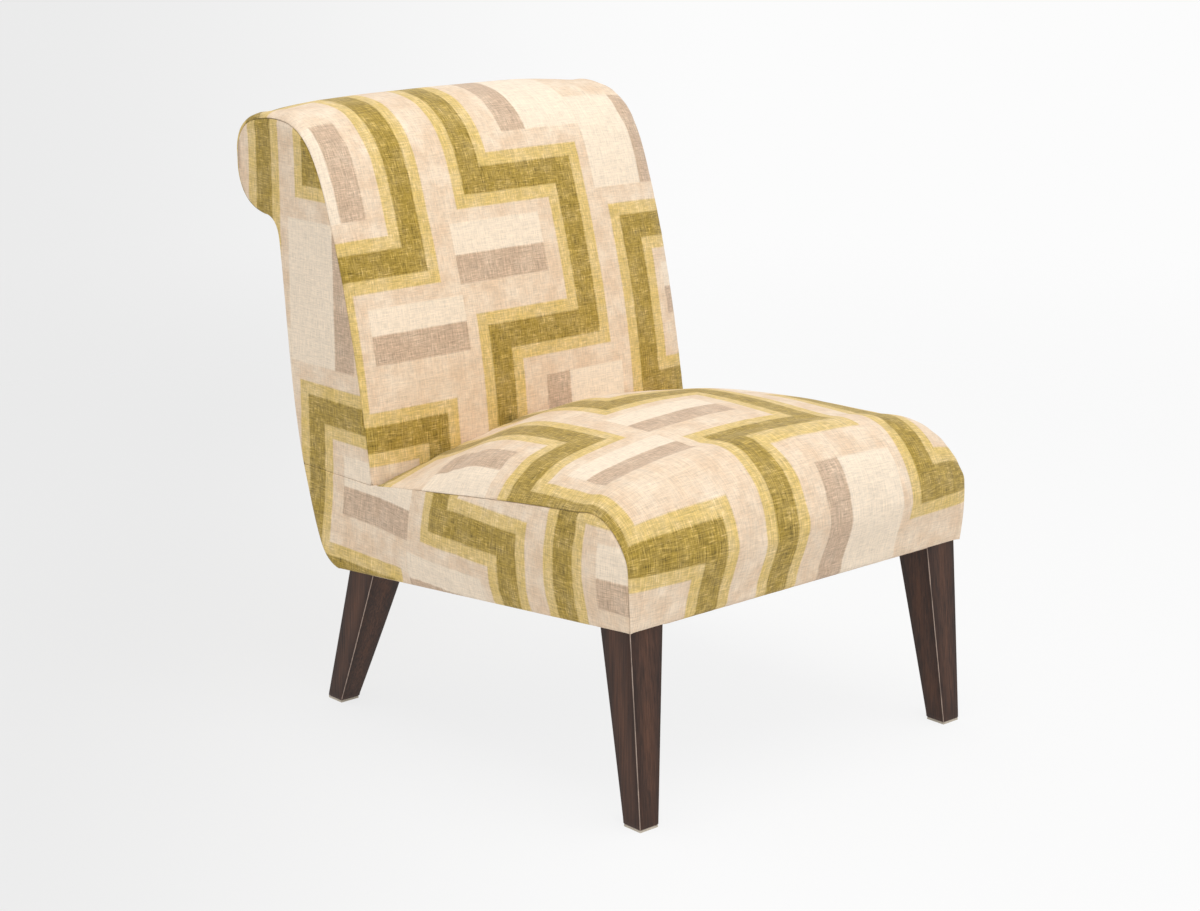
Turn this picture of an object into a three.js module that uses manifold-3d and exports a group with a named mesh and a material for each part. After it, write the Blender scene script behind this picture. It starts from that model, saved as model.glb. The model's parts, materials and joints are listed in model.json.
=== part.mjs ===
// Slipper chair: armless, with a crowned tight seat, a scroll-topped back and four tapered legs.
// Millimetres, +Z up. The front faces -Y and the sitter's right is at -X.
// Side outlines are drawn in a (y, z) plane whose y is zero at the seat's front bottom edge.
// At the end the group is moved so that the origin lies under the middle of the chair, on the floor.

import * as THREE from 'three';
import { mergeVertices } from 'three/addons/utils/BufferGeometryUtils.js';
import Module from 'manifold-3d';

// Driving dimensions

const gap = 0.3; // clearance between pieces that touch
const overrun = 20; // how far every cutter runs past what it cuts

const seat = {
  width: 620,
  depth: 543, // front edge to the crease at the back
  frontHeight: 261, // floor to the bottom edge at the front
  boxHeight: 137, // bottom edge to the top seam at the front shoulder
  crownHeight: 83, // highest rise of the seat's middle above its side seams
  bulgeDepth: 7.5, // how far the side panels swell
  rearDrop: 50.1, // fall of the bottom edge from the front to under the crease
  rearLength: 69, // the bottom edge runs on behind the crease before the back turns up
  taperLength: 200, // the side seam draws in to the back's width over this length
  cornerLength: 60, // the front corner swells with the side panel up to here
  fadeStartShare: 0.55, // the side's swell fades from this share of its run
};

const back = {
  inset: 11, // each side of the back lies this far inside the seat's
  depth: 300, // crease to the rearmost point of the scroll's side seam
  height: 484, // crease to the top of the scroll at its side seams
  crownHeight: 24,
};

const fabric = {
  thickness: 2,
  liningThickness: 1,
  clearance: 1, // room between the side covers and what they close
};

const foam = {
  backThickness: 32, // padding under the inside back, cover included
  rearThickness: 8,
  sideThickness: 4.4,
  clearance: 2, // the padding lies this much slacker inside its side covers
};

const timber = {
  boardThickness: 20, // side boards and side rails
  railThickness: 22, // front, rear and back cross rails
  seatRailHeight: 82,
  crossRailHeight: 60,
  frontRailSetback: 16,
  rearRailOffset: 30, // from the crease back to the rear rail
  blockLength: 62,
  blockHeight: 45,
};

const spring = {
  count: 4,
  bars: 16,
  wireDiameter: 3.8,
  width: 56,
  spacing: 132,
  tension: 0.25,
  arcSteps: 2, // segments in each half of the wire's section
};

const clip = { width: 16, thickness: 1.2, length: 12 };

const webbing = { width: 50, thickness: 1.5, clearance: 0.7, placeShares: [0.18, 0.46, 0.74] };

// Legs: the inset is from the seat's side, the offset from the front edge or from the crease
const leg = {
  frontTop: { inset: 5.3, offset: 6, width: 56.2 },
  frontFoot: { inset: 5.1, offset: -14.4, width: 32.2 },
  rearTop: { inset: 5.3, offset: -6.9, width: 55.6 },
  rearFoot: { inset: 5.1, offset: 76.6, width: 32.2 },
  chamfer: 1.6,
};

const glide = { height: 3, inset: 0.9 };

const bolt = {
  radius: 4,
  depth: 30,
  nutRadius: 7,
  nutHeight: 8,
  inset: 9, // from the side rail's inner face
  frontOffset: 50, // from the front edge
  rearOffset: 21, // from the crease
  sides: 16,
};

// Cross rails of the back: place in shares of the back's depth and height, lean as a share of a right angle
const backRails = {
  lower_back_rail: { placeShares: [0.27, 0.03], leanShare: 0.06 },
  middle_back_rail: { placeShares: [0.36, 0.36], leanShare: 0.06 },
  neck_rail: { placeShares: [0.49, 0.68], leanShare: 0.14 },
  scroll_rail: { placeShares: [0.72, 0.86], leanShare: 0.95 },
};

const dustCover = { inset: 24, clearance: 2 };

// Shares of the seat's depth and box height, from the front bottom edge up and over to behind the crease
const seatShares = {
  frontFace: [[0, 0], [0.004, 0.285], [0.013, 0.599]],
  shoulder: [[0.013, 0.599], [0.044, 0.942], [0.085, 1.051], [0.169, 1]],
  top: [[0.169, 1], [0.586, 0.839], [1, 0.562]],
  tuck: [[1, 0.562], [1.12, 0.49]],
};

// Shares of the back's depth and height, from under the crease up, over the scroll and down the rear
const backShares = {
  tuck: [[-0.015, -0.06], [0, 0]],
  front: [[0, 0], [0.06, 0.238], [0.15, 0.517], [0.263, 0.717]],
  scrollFront: [[0.263, 0.717], [0.327, 0.831], [0.397, 0.975], [0.59, 1]],
  scrollTop: [[0.59, 1], [0.714, 1.0145], [0.847, 0.996]],
  scrollRear: [[0.847, 0.996], [0.947, 0.988], [1.01, 0.94], [1, 0.878]],
  scrollUnder: [[1, 0.878], [1.01, 0.789], [0.93, 0.731], [0.773, 0.723]],
  neck: [[0.773, 0.723], [0.69, 0.715], [0.68, 0.651]],
  rear: [[0.68, 0.651], [0.64, 0.459], [0.627, 0.211], [0.537, 0]],
  rearFoot: [[0.537, 0], [0.503, -0.068], [0.432, -0.152], [0.372, -0.211]],
  cornerTurn: [0.314, -0.27],
};

// Crown as a share of its height, against the share of the way along the seam
const seatCrownShares = {
  along: [0, 0.1, 0.2, 0.32, 0.5, 0.75, 1],
  rise: [0, 0.24, 0.6, 0.63, 0.9, 1, 0.69],
};
const backCrownShares = {
  along: [0, 0.2, 0.45, 0.7, 0.86, 1],
  rise: [0.4, 0.8, 0.85, 1, 0.45, 0.05],
};

// How full the crown is across the chair: 1 - x^power, raised to the fullness
const crownShares = {
  seat: { power: 1.64, fullness: 0.4 },
  seatAtCrease: { power: 1.3, fullness: 1, fromShare: 0.65 },
  back: { power: 3, fullness: 0.28 },
};

// How finely curved surfaces are divided
const divisions = { across: 14, seatCurve: 6, backCurve: 5, sideAlong: 15, sideUp: 5, springSteps: 4 };

const material = {
  print: new THREE.MeshStandardMaterial({ color: '#d9cdb6', roughness: 0.92, metalness: 0 }),
  foam: new THREE.MeshStandardMaterial({ color: '#efe4c4', roughness: 0.95, metalness: 0 }),
  wadding: new THREE.MeshStandardMaterial({ color: '#f2f0ea', roughness: 0.98, metalness: 0 }),
  timber: new THREE.MeshStandardMaterial({ color: '#c8a878', roughness: 0.75, metalness: 0 }),
  plywood: new THREE.MeshStandardMaterial({ color: '#d2b48a', roughness: 0.8, metalness: 0 }),
  stained: new THREE.MeshStandardMaterial({ color: '#2f1d16', roughness: 0.42, metalness: 0 }),
  steel: new THREE.MeshStandardMaterial({ color: '#8f9296', roughness: 0.4, metalness: 1 }),
  hessian: new THREE.MeshStandardMaterial({ color: '#a88b5e', roughness: 0.95, metalness: 0 }),
  elastic: new THREE.MeshStandardMaterial({ color: '#2c2c30', roughness: 0.9, metalness: 0 }),
  lining: new THREE.MeshStandardMaterial({ color: '#1c1c1e', roughness: 0.95, metalness: 0 }),
  nylon: new THREE.MeshStandardMaterial({ color: '#c9bfae', roughness: 0.6, metalness: 0 }),
};

// Places worked out from the driving dimensions

const seatHalf = seat.width / 2;
const backHalf = seatHalf - back.inset;
const bottomLength = seat.depth + seat.rearLength;
const bottomSlope = Math.atan2(seat.rearDrop, seat.depth);
const rearRailSetback = seat.depth + timber.rearRailOffset;
const crease = { y: seat.depth, z: seat.frontHeight + seat.boxHeight * seatShares.top.at(-1)[1] };
const boardOuter = backHalf - fabric.thickness - gap - foam.sideThickness - gap;
const boardInner = boardOuter - timber.boardThickness;
const deck = timber.seatRailHeight; // the rails' top, above the bottom edge
const insulatorBase = deck + gap + spring.wireDiameter + gap;
const foamBase = insulatorBase + fabric.thickness + gap;

// Frame of the seat box: y runs along the sloping bottom edge, z square to it
const seatBox = new THREE.Group();
seatBox.position.set(0, 0, seat.frontHeight);
seatBox.rotation.x = -bottomSlope;
seatBox.updateMatrixWorld();

const chair = new THREE.Group();
chair.add(seatBox);

// Booleans

const wasm = await Module();
wasm.setup();

function toSolid(geometry) {
  const bare = new THREE.BufferGeometry();
  bare.setAttribute('position', geometry.attributes.position.clone());
  if (geometry.index) bare.setIndex(geometry.index.clone());
  const merged = mergeVertices(bare);
  const vertProperties = Float32Array.from(merged.attributes.position.array);
  const triVerts = Uint32Array.from(merged.index.array);
  return new wasm.Manifold(new wasm.Mesh({ numProp: 3, vertProperties, triVerts }));
}

function toGeometry(solid) {
  const mesh = solid.getMesh();
  const geometry = new THREE.BufferGeometry();
  geometry.setAttribute('position', new THREE.BufferAttribute(mesh.vertProperties, 3));
  geometry.setIndex(new THREE.BufferAttribute(mesh.triVerts, 1));
  geometry.computeVertexNormals();
  return geometry;
}

// Outlines in the (y, z) plane

function curveThrough(shares, place) {
  const points = shares.map(([along, up]) => place(along, up));
  if (points.length === 2) return new THREE.LineCurve(...points);
  if (points.length === 3) return new THREE.QuadraticBezierCurve(...points);
  return new THREE.CubicBezierCurve(...points);
}

function seatPlace(along, up) {
  return new THREE.Vector2(seat.depth * along, seat.frontHeight + seat.boxHeight * up);
}

function backPlace(along, up) {
  return new THREE.Vector2(crease.y + back.depth * along, crease.z + back.height * up);
}

// Point of the seat box's frame, seen in the (y, z) plane
function boxPlace(along, up) {
  const point = new THREE.Vector3(0, along, up).applyMatrix4(seatBox.matrixWorld);
  return new THREE.Vector2(point.y, point.z);
}

// The same point of the (y, z) plane, read in the seat box's frame
function toBox(place) {
  const point = seatBox.worldToLocal(new THREE.Vector3(0, place.x, place.y));
  return new THREE.Vector2(point.y, point.z);
}

// Samples of a chain of curves: place, direction, outward normal and share of the whole length
function sampleLine(curves, steps) {
  const samples = [];
  curves.forEach((curve, which) => {
    for (let i = which === 0 ? 0 : 1; i <= steps; i += 1) {
      const place = curve.getPoint(i / steps);
      const ahead = curve.getTangent(i / steps);
      samples.push({ place, ahead, out: new THREE.Vector2(-ahead.y, ahead.x) });
    }
  });
  let length = 0;
  samples.forEach((sample, i) => {
    if (i > 0) length += sample.place.distanceTo(samples[i - 1].place);
    sample.length = length;
  });
  samples.forEach((sample) => {
    sample.share = sample.length / length;
  });
  return samples;
}

function offsetPoint(sample, offset) {
  return sample.place.clone().addScaledVector(sample.out, offset);
}

function offsetLine(samples, offset) {
  return samples.map((sample) => offsetPoint(sample, offset));
}

// The same line, starting one clearance later
function startLater(samples) {
  const [first, ...rest] = samples;
  return [{ ...first, place: first.place.clone().addScaledVector(first.ahead, gap) }, ...rest];
}

const seatCurve = Object.fromEntries(
  Object.entries(seatShares).map(([name, shares]) => [name, curveThrough(shares, seatPlace)]),
);

const backCurve = Object.fromEntries(
  Object.entries(backShares)
    .filter(([name]) => name !== 'cornerTurn')
    .map(([name, shares]) => [name, curveThrough(shares, backPlace)]),
);
backCurve.corner = new THREE.QuadraticBezierCurve(
  backPlace(...backShares.rearFoot.at(-1)),
  backPlace(...backShares.cornerTurn),
  boxPlace(bottomLength, 0),
);

const seatLine = sampleLine(
  [seatCurve.frontFace, seatCurve.shoulder, seatCurve.top, seatCurve.tuck],
  divisions.seatCurve,
);
const seamLength = seatLine[divisions.seatCurve * 3].length;
const frontLine = sampleLine([backCurve.tuck, backCurve.front], divisions.backCurve);
const scrollLine = sampleLine(
  [backCurve.scrollFront, backCurve.scrollTop, backCurve.scrollRear, backCurve.scrollUnder],
  divisions.backCurve,
);
const neckLine = sampleLine([backCurve.neck], divisions.backCurve);
const rearLine = sampleLine([backCurve.rear, backCurve.rearFoot, backCurve.corner], divisions.backCurve);

const insideLine = [...frontLine, ...scrollLine.slice(1)];
const insideLength = frontLine.at(-1).length + scrollLine.at(-1).length;
scrollLine.forEach((sample) => {
  sample.share = (frontLine.at(-1).length + sample.length) / insideLength;
});
frontLine.forEach((sample) => {
  sample.share = sample.length / insideLength;
});

// Crowns and side faces

const seatCrown = new THREE.CubicInterpolant(seatCrownShares.along, seatCrownShares.rise, 1);
const backCrown = new THREE.CubicInterpolant(backCrownShares.along, backCrownShares.rise, 1);

function fullness(xShare, power, exponent) {
  return Math.max(1 - Math.abs(xShare) ** power, 0) ** exponent;
}

function seatCrownAt(sample, xShare) {
  const share = Math.min(sample.length / seamLength, 1);
  const towardsCrease = THREE.MathUtils.smoothstep(share, crownShares.seatAtCrease.fromShare, 1);
  const { seat: open, seatAtCrease: tucked } = crownShares;
  const power = THREE.MathUtils.lerp(open.power, tucked.power, towardsCrease);
  const full = THREE.MathUtils.lerp(open.fullness, tucked.fullness, towardsCrease);
  return seat.crownHeight * seatCrown.evaluate(share)[0] * fullness(xShare, power, full);
}

function backCrownAt(sample, xShare) {
  const { power, fullness: full } = crownShares.back;
  return back.crownHeight * backCrown.evaluate(sample.share)[0] * fullness(xShare, power, full);
}

// Swell across a height: none at its edges and 1 halfway up
function swellAt(upShare) {
  return 4 * upShare * (1 - upShare);
}

// Swell of the seat's side panel behind its front corner, dying away towards the rear
function sideBulge(place, runShare, upShare) {
  const fade = 1 - THREE.MathUtils.smoothstep(runShare, seat.fadeStartShare, 1);
  return seat.bulgeDepth * swellAt(upShare) * fade * (1 - cornerShare(place));
}

// How much of the side's swell the front corner takes with it
function cornerShare(place) {
  return 1 - THREE.MathUtils.smoothstep(place.x, seat.cornerLength, seat.taperLength);
}

// Half the chair's width at its side seam: the seat's, swelling at the front corner and drawn in
// to the back's near the crease
function sideSeamAt(place) {
  const rearward = THREE.MathUtils.smoothstep(place.x, seat.depth - seat.taperLength, seat.depth);
  const upward = THREE.MathUtils.smoothstep(place.y, crease.z - seat.boxHeight, crease.z);
  const up = THREE.MathUtils.clamp((place.y - seat.frontHeight) / seat.boxHeight, 0, 1);
  const swell = seat.bulgeDepth * swellAt(up) * cornerShare(place);
  return seatHalf + swell - (seatHalf - backHalf) * rearward * upward;
}

// Solids

// Closed solid between an outer and an inner grid of points
function thickSheet(rows, columns, outerPoint, innerPoint) {
  const positions = [];
  for (const pointAt of [outerPoint, innerPoint]) {
    for (let row = 0; row <= rows; row += 1) {
      for (let column = 0; column <= columns; column += 1) positions.push(...pointAt(row, column));
    }
  }
  const layer = (rows + 1) * (columns + 1);
  const outer = (row, column) => row * (columns + 1) + column;
  const inner = (row, column) => layer + outer(row, column);
  const faces = [];
  const quad = (a, b, c, d) => faces.push(a, b, c, a, c, d);
  for (let row = 0; row < rows; row += 1) {
    for (let column = 0; column < columns; column += 1) {
      quad(outer(row, column), outer(row + 1, column), outer(row + 1, column + 1), outer(row, column + 1));
      quad(inner(row, column), inner(row, column + 1), inner(row + 1, column + 1), inner(row + 1, column));
    }
  }
  for (let row = 0; row < rows; row += 1) {
    quad(outer(row, 0), inner(row, 0), inner(row + 1, 0), outer(row + 1, 0));
    quad(outer(row + 1, columns), inner(row + 1, columns), inner(row, columns), outer(row, columns));
  }
  for (let column = 0; column < columns; column += 1) {
    quad(outer(0, column + 1), inner(0, column + 1), inner(0, column), outer(0, column));
    quad(outer(rows, column), inner(rows, column), inner(rows, column + 1), outer(rows, column + 1));
  }
  const geometry = new THREE.BufferGeometry();
  geometry.setAttribute('position', new THREE.Float32BufferAttribute(positions, 3));
  geometry.setIndex(faces);
  return facingOut(geometry);
}

function facingOut(geometry) {
  const { position } = geometry.attributes;
  const index = geometry.index.array;
  const [a, b, c] = [new THREE.Vector3(), new THREE.Vector3(), new THREE.Vector3()];
  let volume = 0;
  for (let i = 0; i < index.length; i += 3) {
    a.fromBufferAttribute(position, index[i]);
    b.fromBufferAttribute(position, index[i + 1]);
    c.fromBufferAttribute(position, index[i + 2]);
    volume += a.dot(b.cross(c));
  }
  if (volume < 0) {
    for (let i = 0; i < index.length; i += 3) [index[i], index[i + 1]] = [index[i + 1], index[i]];
  }
  geometry.computeVertexNormals();
  return geometry;
}

// Share of the half width for each step across, closer together near the sides
function acrossShare(row) {
  return Math.sin((row / divisions.across - 0.5) * Math.PI);
}

// Padding or cover that runs across the chair along a side outline
function acrossChair(samples, halfWidthAt, outerOffset, innerOffset) {
  const pointAt = (offsetAt) => (row, column) => {
    const xShare = acrossShare(row);
    const sample = samples[column];
    const x = halfWidthAt(sample.place) * xShare;
    const place = offsetPoint(sample, offsetAt(sample, xShare));
    return [x, place.x, place.y];
  };
  return thickSheet(divisions.across, samples.length - 1, pointAt(outerOffset), pointAt(innerOffset));
}

// Flat plate cut to a side outline, between two distances from the middle plane
function sidePlate(outline, side, from, to) {
  const shape = new THREE.Shape(outline);
  const geometry = new THREE.ExtrudeGeometry(shape, { depth: to - from, bevelEnabled: false });
  const axes = new THREE.Matrix4().makeBasis(
    new THREE.Vector3(0, 1, 0),
    new THREE.Vector3(0, 0, 1),
    new THREE.Vector3(1, 0, 0),
  );
  geometry.applyMatrix4(axes);
  geometry.translate(side > 0 ? from : -to, 0, 0);
  return geometry;
}

function box(width, depth, height, x, y, z) {
  return new THREE.BoxGeometry(width, depth, height).translate(x, y, z);
}

// Box given by its corner distances in the seat box's frame
function boxBetween(xFrom, xTo, yFrom, yTo, zFrom, zTo) {
  const size = [xTo - xFrom, yTo - yFrom, zTo - zFrom];
  return box(...size, (xFrom + xTo) / 2, (yFrom + yTo) / 2, (zFrom + zTo) / 2);
}

function addMesh(parent, name, geometry, finish) {
  const mesh = new THREE.Mesh(geometry, finish);
  mesh.name = name;
  parent.add(mesh);
  return mesh;
}

const sides = [{ name: 'right', sign: -1 }, { name: 'left', sign: 1 }];

// Side outlines of the back's boards, padding and covers

const webbingDepth = foam.backThickness + webbing.clearance;
const boardDepth = webbingDepth + webbing.thickness + webbing.clearance;
const rearDepth = fabric.thickness + gap + foam.rearThickness + gap;
const boardFront = toBox(offsetPoint(frontLine[0], -boardDepth)).x;
const railRear = rearRailSetback + timber.railThickness;
const sideCoverTop = crease.z + fabric.thickness;

function boardOutline() {
  return [
    boxPlace(boardFront, 0),
    ...offsetLine(frontLine, -boardDepth),
    ...offsetLine(scrollLine.slice(1), -foam.backThickness - gap),
    ...offsetLine(rearLine, -rearDepth),
  ];
}

// Outline of the back's side above the seat, or down to the bottom edge, drawn in by an inset
function backSideOutline(inset, toBottom) {
  const lower = toBottom ? [boxPlace(boardFront, 0), boxPlace(boardFront, foamBase + gap)] : [];
  const isAbove = (place) => toBottom || place.y > sideCoverTop;
  const samples = [...insideLine, ...neckLine.slice(1), ...rearLine.slice(1)];
  const outline = offsetLine(samples, -inset);
  const kept = outline.filter(isAbove);
  if (toBottom) return [...lower, ...kept];
  const rearEdge = backCurve.rearFoot.getPoint(0).x;
  return [new THREE.Vector2(crease.y, sideCoverTop), ...kept, new THREE.Vector2(rearEdge, sideCoverTop)];
}

// Seat frame

function addSeatRails() {
  const half = boardInner - gap;
  const { frontRailSetback, railThickness } = timber;
  const front = boxBetween(-half, half, frontRailSetback, frontRailSetback + railThickness, 0, deck);
  const rear = boxBetween(-half, half, rearRailSetback, railRear, 0, deck);
  addMesh(seatBox, 'front_seat_rail', front, material.timber);
  addMesh(seatBox, 'rear_seat_rail', rear, material.timber);
  sides.forEach(({ name, sign }) => {
    const middle = sign * (boardInner + boardOuter) / 2;
    const length = boardFront - gap - frontRailSetback;
    const centre = frontRailSetback + length / 2;
    const sideRail = box(timber.boardThickness, length, deck, middle, centre, deck / 2);
    addMesh(seatBox, `${name}_seat_rail`, sideRail, material.timber);
  });
}

function boltHole(x, y) {
  const height = timber.blockHeight + bolt.depth + overrun;
  const drill = new THREE.CylinderGeometry(bolt.radius + gap, bolt.radius + gap, height, bolt.sides);
  drill.rotateX(Math.PI / 2);
  return drill.translate(x, y, height / 2 - bolt.depth - gap);
}

// Corner blocks, leg bolts with their nuts, legs and glides: one of each at every corner
const corners = [];
for (const { name, sign } of sides) {
  const boltX = sign * (boardInner - bolt.inset);
  corners.push({
    name: `front_${name}`,
    sign,
    boltX,
    boltY: bolt.frontOffset,
    top: leg.frontTop,
    foot: leg.frontFoot,
    start: 0,
    railFace: timber.frontRailSetback + timber.railThickness + gap,
    away: 1,
  });
  corners.push({
    name: `rear_${name}`,
    sign,
    boltX,
    boltY: seat.depth + bolt.rearOffset,
    top: leg.rearTop,
    foot: leg.rearFoot,
    start: seat.depth,
    railFace: rearRailSetback - gap,
    away: -1,
  });
}

function addCornerBlock({ name, sign, boltX, boltY, railFace, away }) {
  const side = sign * (boardInner - gap);
  const shape = new THREE.Shape([
    new THREE.Vector2(side, railFace),
    new THREE.Vector2(side - sign * timber.blockLength, railFace),
    new THREE.Vector2(side, railFace + away * timber.blockLength),
  ]);
  const block = new THREE.ExtrudeGeometry(shape, { depth: timber.blockHeight, bevelEnabled: false });
  const drilled = toSolid(block).subtract(toSolid(boltHole(boltX, boltY)));
  addMesh(seatBox, `${name}_corner_block`, toGeometry(drilled), material.timber);
}

function addLegBolt({ name, boltX, boltY }) {
  const profile = [
    new THREE.Vector2(0, -bolt.depth),
    new THREE.Vector2(bolt.radius, -bolt.depth),
    new THREE.Vector2(bolt.radius, timber.blockHeight + gap),
    new THREE.Vector2(bolt.nutRadius, timber.blockHeight + gap),
    new THREE.Vector2(bolt.nutRadius, timber.blockHeight + gap + bolt.nutHeight),
    new THREE.Vector2(0, timber.blockHeight + gap + bolt.nutHeight),
  ];
  const turned = new THREE.LatheGeometry(profile, bolt.sides).rotateX(Math.PI / 2);
  addMesh(seatBox, `${name}_leg_bolt`, turned.translate(boltX, boltY, 0), material.steel);
}

// Square bar with chamfered corners whose ends differ in place and size
function addLeg({ name, sign, top, foot, start, boltX, boltY }) {
  const cut = leg.chamfer / top.width;
  const half = 0.5;
  const corner = half - cut;
  const section = new THREE.Shape([
    [half, -corner], [half, corner], [corner, half], [-corner, half],
    [-half, corner], [-half, -corner], [-corner, -half], [corner, -half],
  ].map(([x, y]) => new THREE.Vector2(x, y)));
  const bar = new THREE.ExtrudeGeometry(section, { depth: 1, bevelEnabled: false });
  const { position } = bar.attributes;
  const topPlane = boxPlace(0, -gap);
  for (let i = 0; i < position.count; i += 1) {
    const end = position.getZ(i) > half ? top : foot;
    const x = sign * (seatHalf - end.inset - end.width / 2) + position.getX(i) * end.width;
    const y = start + end.offset + end.width / 2 + position.getY(i) * end.width;
    const topZ = topPlane.y - (y - topPlane.x) * Math.tan(bottomSlope);
    position.setXYZ(i, x, y, end === top ? topZ : glide.height + gap);
  }
  const drill = boltHole(boltX, boltY).applyMatrix4(seatBox.matrixWorld);
  addMesh(chair, `${name}_leg`, toGeometry(toSolid(bar).subtract(toSolid(drill))), material.stained);
}

function addGlide({ name, sign, foot, start }) {
  const side = foot.width - glide.inset * 2;
  const x = sign * (seatHalf - foot.inset - foot.width / 2);
  const y = start + foot.offset + foot.width / 2;
  addMesh(chair, `${name}_glide`, box(side, side, glide.height, x, y, glide.height / 2), material.nylon);
}

// Seat suspension

function springPath(x) {
  const first = timber.frontRailSetback + timber.railThickness / 2;
  const last = rearRailSetback + timber.railThickness / 2;
  const z = deck + gap + spring.wireDiameter / 2;
  const reach = spring.width / 2;
  const points = [];
  for (let bar = 0; bar < spring.bars; bar += 1) {
    const y = THREE.MathUtils.lerp(first, last, bar / (spring.bars - 1));
    const turn = bar % 2 === 0 ? 1 : -1;
    points.push(new THREE.Vector3(x - turn * reach, y, z), new THREE.Vector3(x + turn * reach, y, z));
  }
  return new THREE.CatmullRomCurve3(points, false, 'catmullrom', spring.tension);
}

function addSprings() {
  const wire = new THREE.Shape();
  wire.absarc(0, 0, spring.wireDiameter / 2, 0, Math.PI * 2);
  for (let i = 0; i < spring.count; i += 1) {
    const x = (i - (spring.count - 1) / 2) * spring.spacing;
    const geometry = new THREE.ExtrudeGeometry(wire, {
      extrudePath: springPath(x),
      steps: spring.bars * divisions.springSteps,
      curveSegments: spring.arcSteps,
    });
    addMesh(seatBox, `seat_spring_${i + 1}`, geometry, material.steel);
    addClip(`front_spring_clip_${i + 1}`, x, timber.frontRailSetback + timber.railThickness / 2);
    addClip(`rear_spring_clip_${i + 1}`, x, rearRailSetback + timber.railThickness / 2);
  }
}

// Channel folded over the end bar of a spring
function addClip(name, x, y) {
  const half = clip.width / 2;
  const under = spring.wireDiameter + gap * 2;
  const top = under + clip.thickness;
  const inside = half - clip.thickness;
  const profile = new THREE.Shape([
    [-half, 0], [-half, top], [half, top], [half, 0],
    [inside, 0], [inside, under], [-inside, under], [-inside, 0],
  ].map(([across, up]) => new THREE.Vector2(across, up)));
  const channel = new THREE.ExtrudeGeometry(profile, { depth: clip.length, bevelEnabled: false });
  channel.rotateX(Math.PI / 2).rotateZ(Math.PI / 2);
  addMesh(seatBox, name, channel.translate(x - clip.length / 2, y, deck + gap), material.steel);
}

function addInsulator() {
  const half = boardInner - gap;
  const front = timber.frontRailSetback + timber.railThickness + clip.width / 2;
  const rear = rearRailSetback - clip.width / 2;
  const sheet = boxBetween(-half, half, front, rear, insulatorBase, insulatorBase + fabric.thickness);
  addMesh(seatBox, 'seat_insulator', sheet, material.hessian);
}

// Back frame

function addBackFrame() {
  const outline = boardOutline();
  sides.forEach(({ name, sign }) => {
    addMesh(chair, `${name}_back_board`, sidePlate(outline, sign, boardInner, boardOuter), material.plywood);
  });
  const span = (boardInner - gap) * 2;
  Object.entries(backRails).forEach(([name, { placeShares, leanShare }]) => {
    const place = backPlace(...placeShares);
    const rail = new THREE.BoxGeometry(span, timber.railThickness, timber.crossRailHeight);
    const mesh = addMesh(chair, name, rail, material.timber);
    mesh.position.set(0, place.x, place.y);
    mesh.rotation.x = -leanShare * Math.PI / 2;
  });
}

function addWebbing() {
  const length = frontLine.at(-1).length;
  webbing.placeShares.forEach((placeShare, i) => {
    const strap = sampleLine([backCurve.front], divisions.backCurve * 4).filter(
      (sample) => Math.abs(sample.length - placeShare * length) <= webbing.width / 2,
    );
    const outer = () => -webbingDepth;
    const inner = () => -webbingDepth - webbing.thickness;
    const sheet = acrossChair(strap, () => boardOuter, outer, inner);
    addMesh(chair, `back_webbing_${i + 1}`, sheet, material.elastic);
  });
}

// Padding

// Everything behind the back's inside face and a clearance, used to cut the seat's soft pieces
function backCutter() {
  const lowest = frontLine[0].place;
  const lower = { ...frontLine[0], place: new THREE.Vector2(lowest.x - gap, lowest.y - seat.boxHeight) };
  const samples = [lower, ...frontLine];
  const pointAt = (offsetAt) => (row, column) => {
    const sample = samples[column];
    const xShare = acrossShare(row);
    const isEdge = row === 0 || row === divisions.across;
    const reach = isEdge ? seatHalf + overrun : backHalf - fabric.thickness - gap;
    const place = offsetPoint(sample, offsetAt(sample, xShare));
    return [reach * xShare, place.x, place.y];
  };
  return toSolid(thickSheet(
    divisions.across,
    samples.length - 1,
    pointAt((sample, xShare) => gap + backCrownAt(sample, xShare)),
    pointAt(() => -seatHalf),
  ));
}

function cutBox(xHalf, yFrom, yTo, zFrom, zTo) {
  const cutter = boxBetween(-xHalf, xHalf, yFrom, yTo, zFrom, zTo);
  return toSolid(cutter.applyMatrix4(seatBox.matrixWorld));
}

// The seat's soft mass under its cover, down past the bottom edge
function seatMass() {
  const skin = fabric.thickness + gap;
  const side = fabric.thickness + foam.clearance;
  const last = seatLine.length - 1;
  const pointAt = (isOuter) => (row, column) => {
    const xShare = acrossShare(row);
    const sample = seatLine[column];
    const reachAt = (place) => (sideSeamAt(place) - side) * xShare;
    if (isOuter) {
      const place = offsetPoint(sample, seatCrownAt(sample, xShare) - skin);
      return [reachAt(sample.place), place.x, place.y];
    }
    const under = boxPlace(skin + (column / last) * (railRear - skin), -overrun);
    return [reachAt(under), under.x, under.y];
  };
  return toSolid(thickSheet(divisions.across, last, pointAt(true), pointAt(false)));
}

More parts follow.
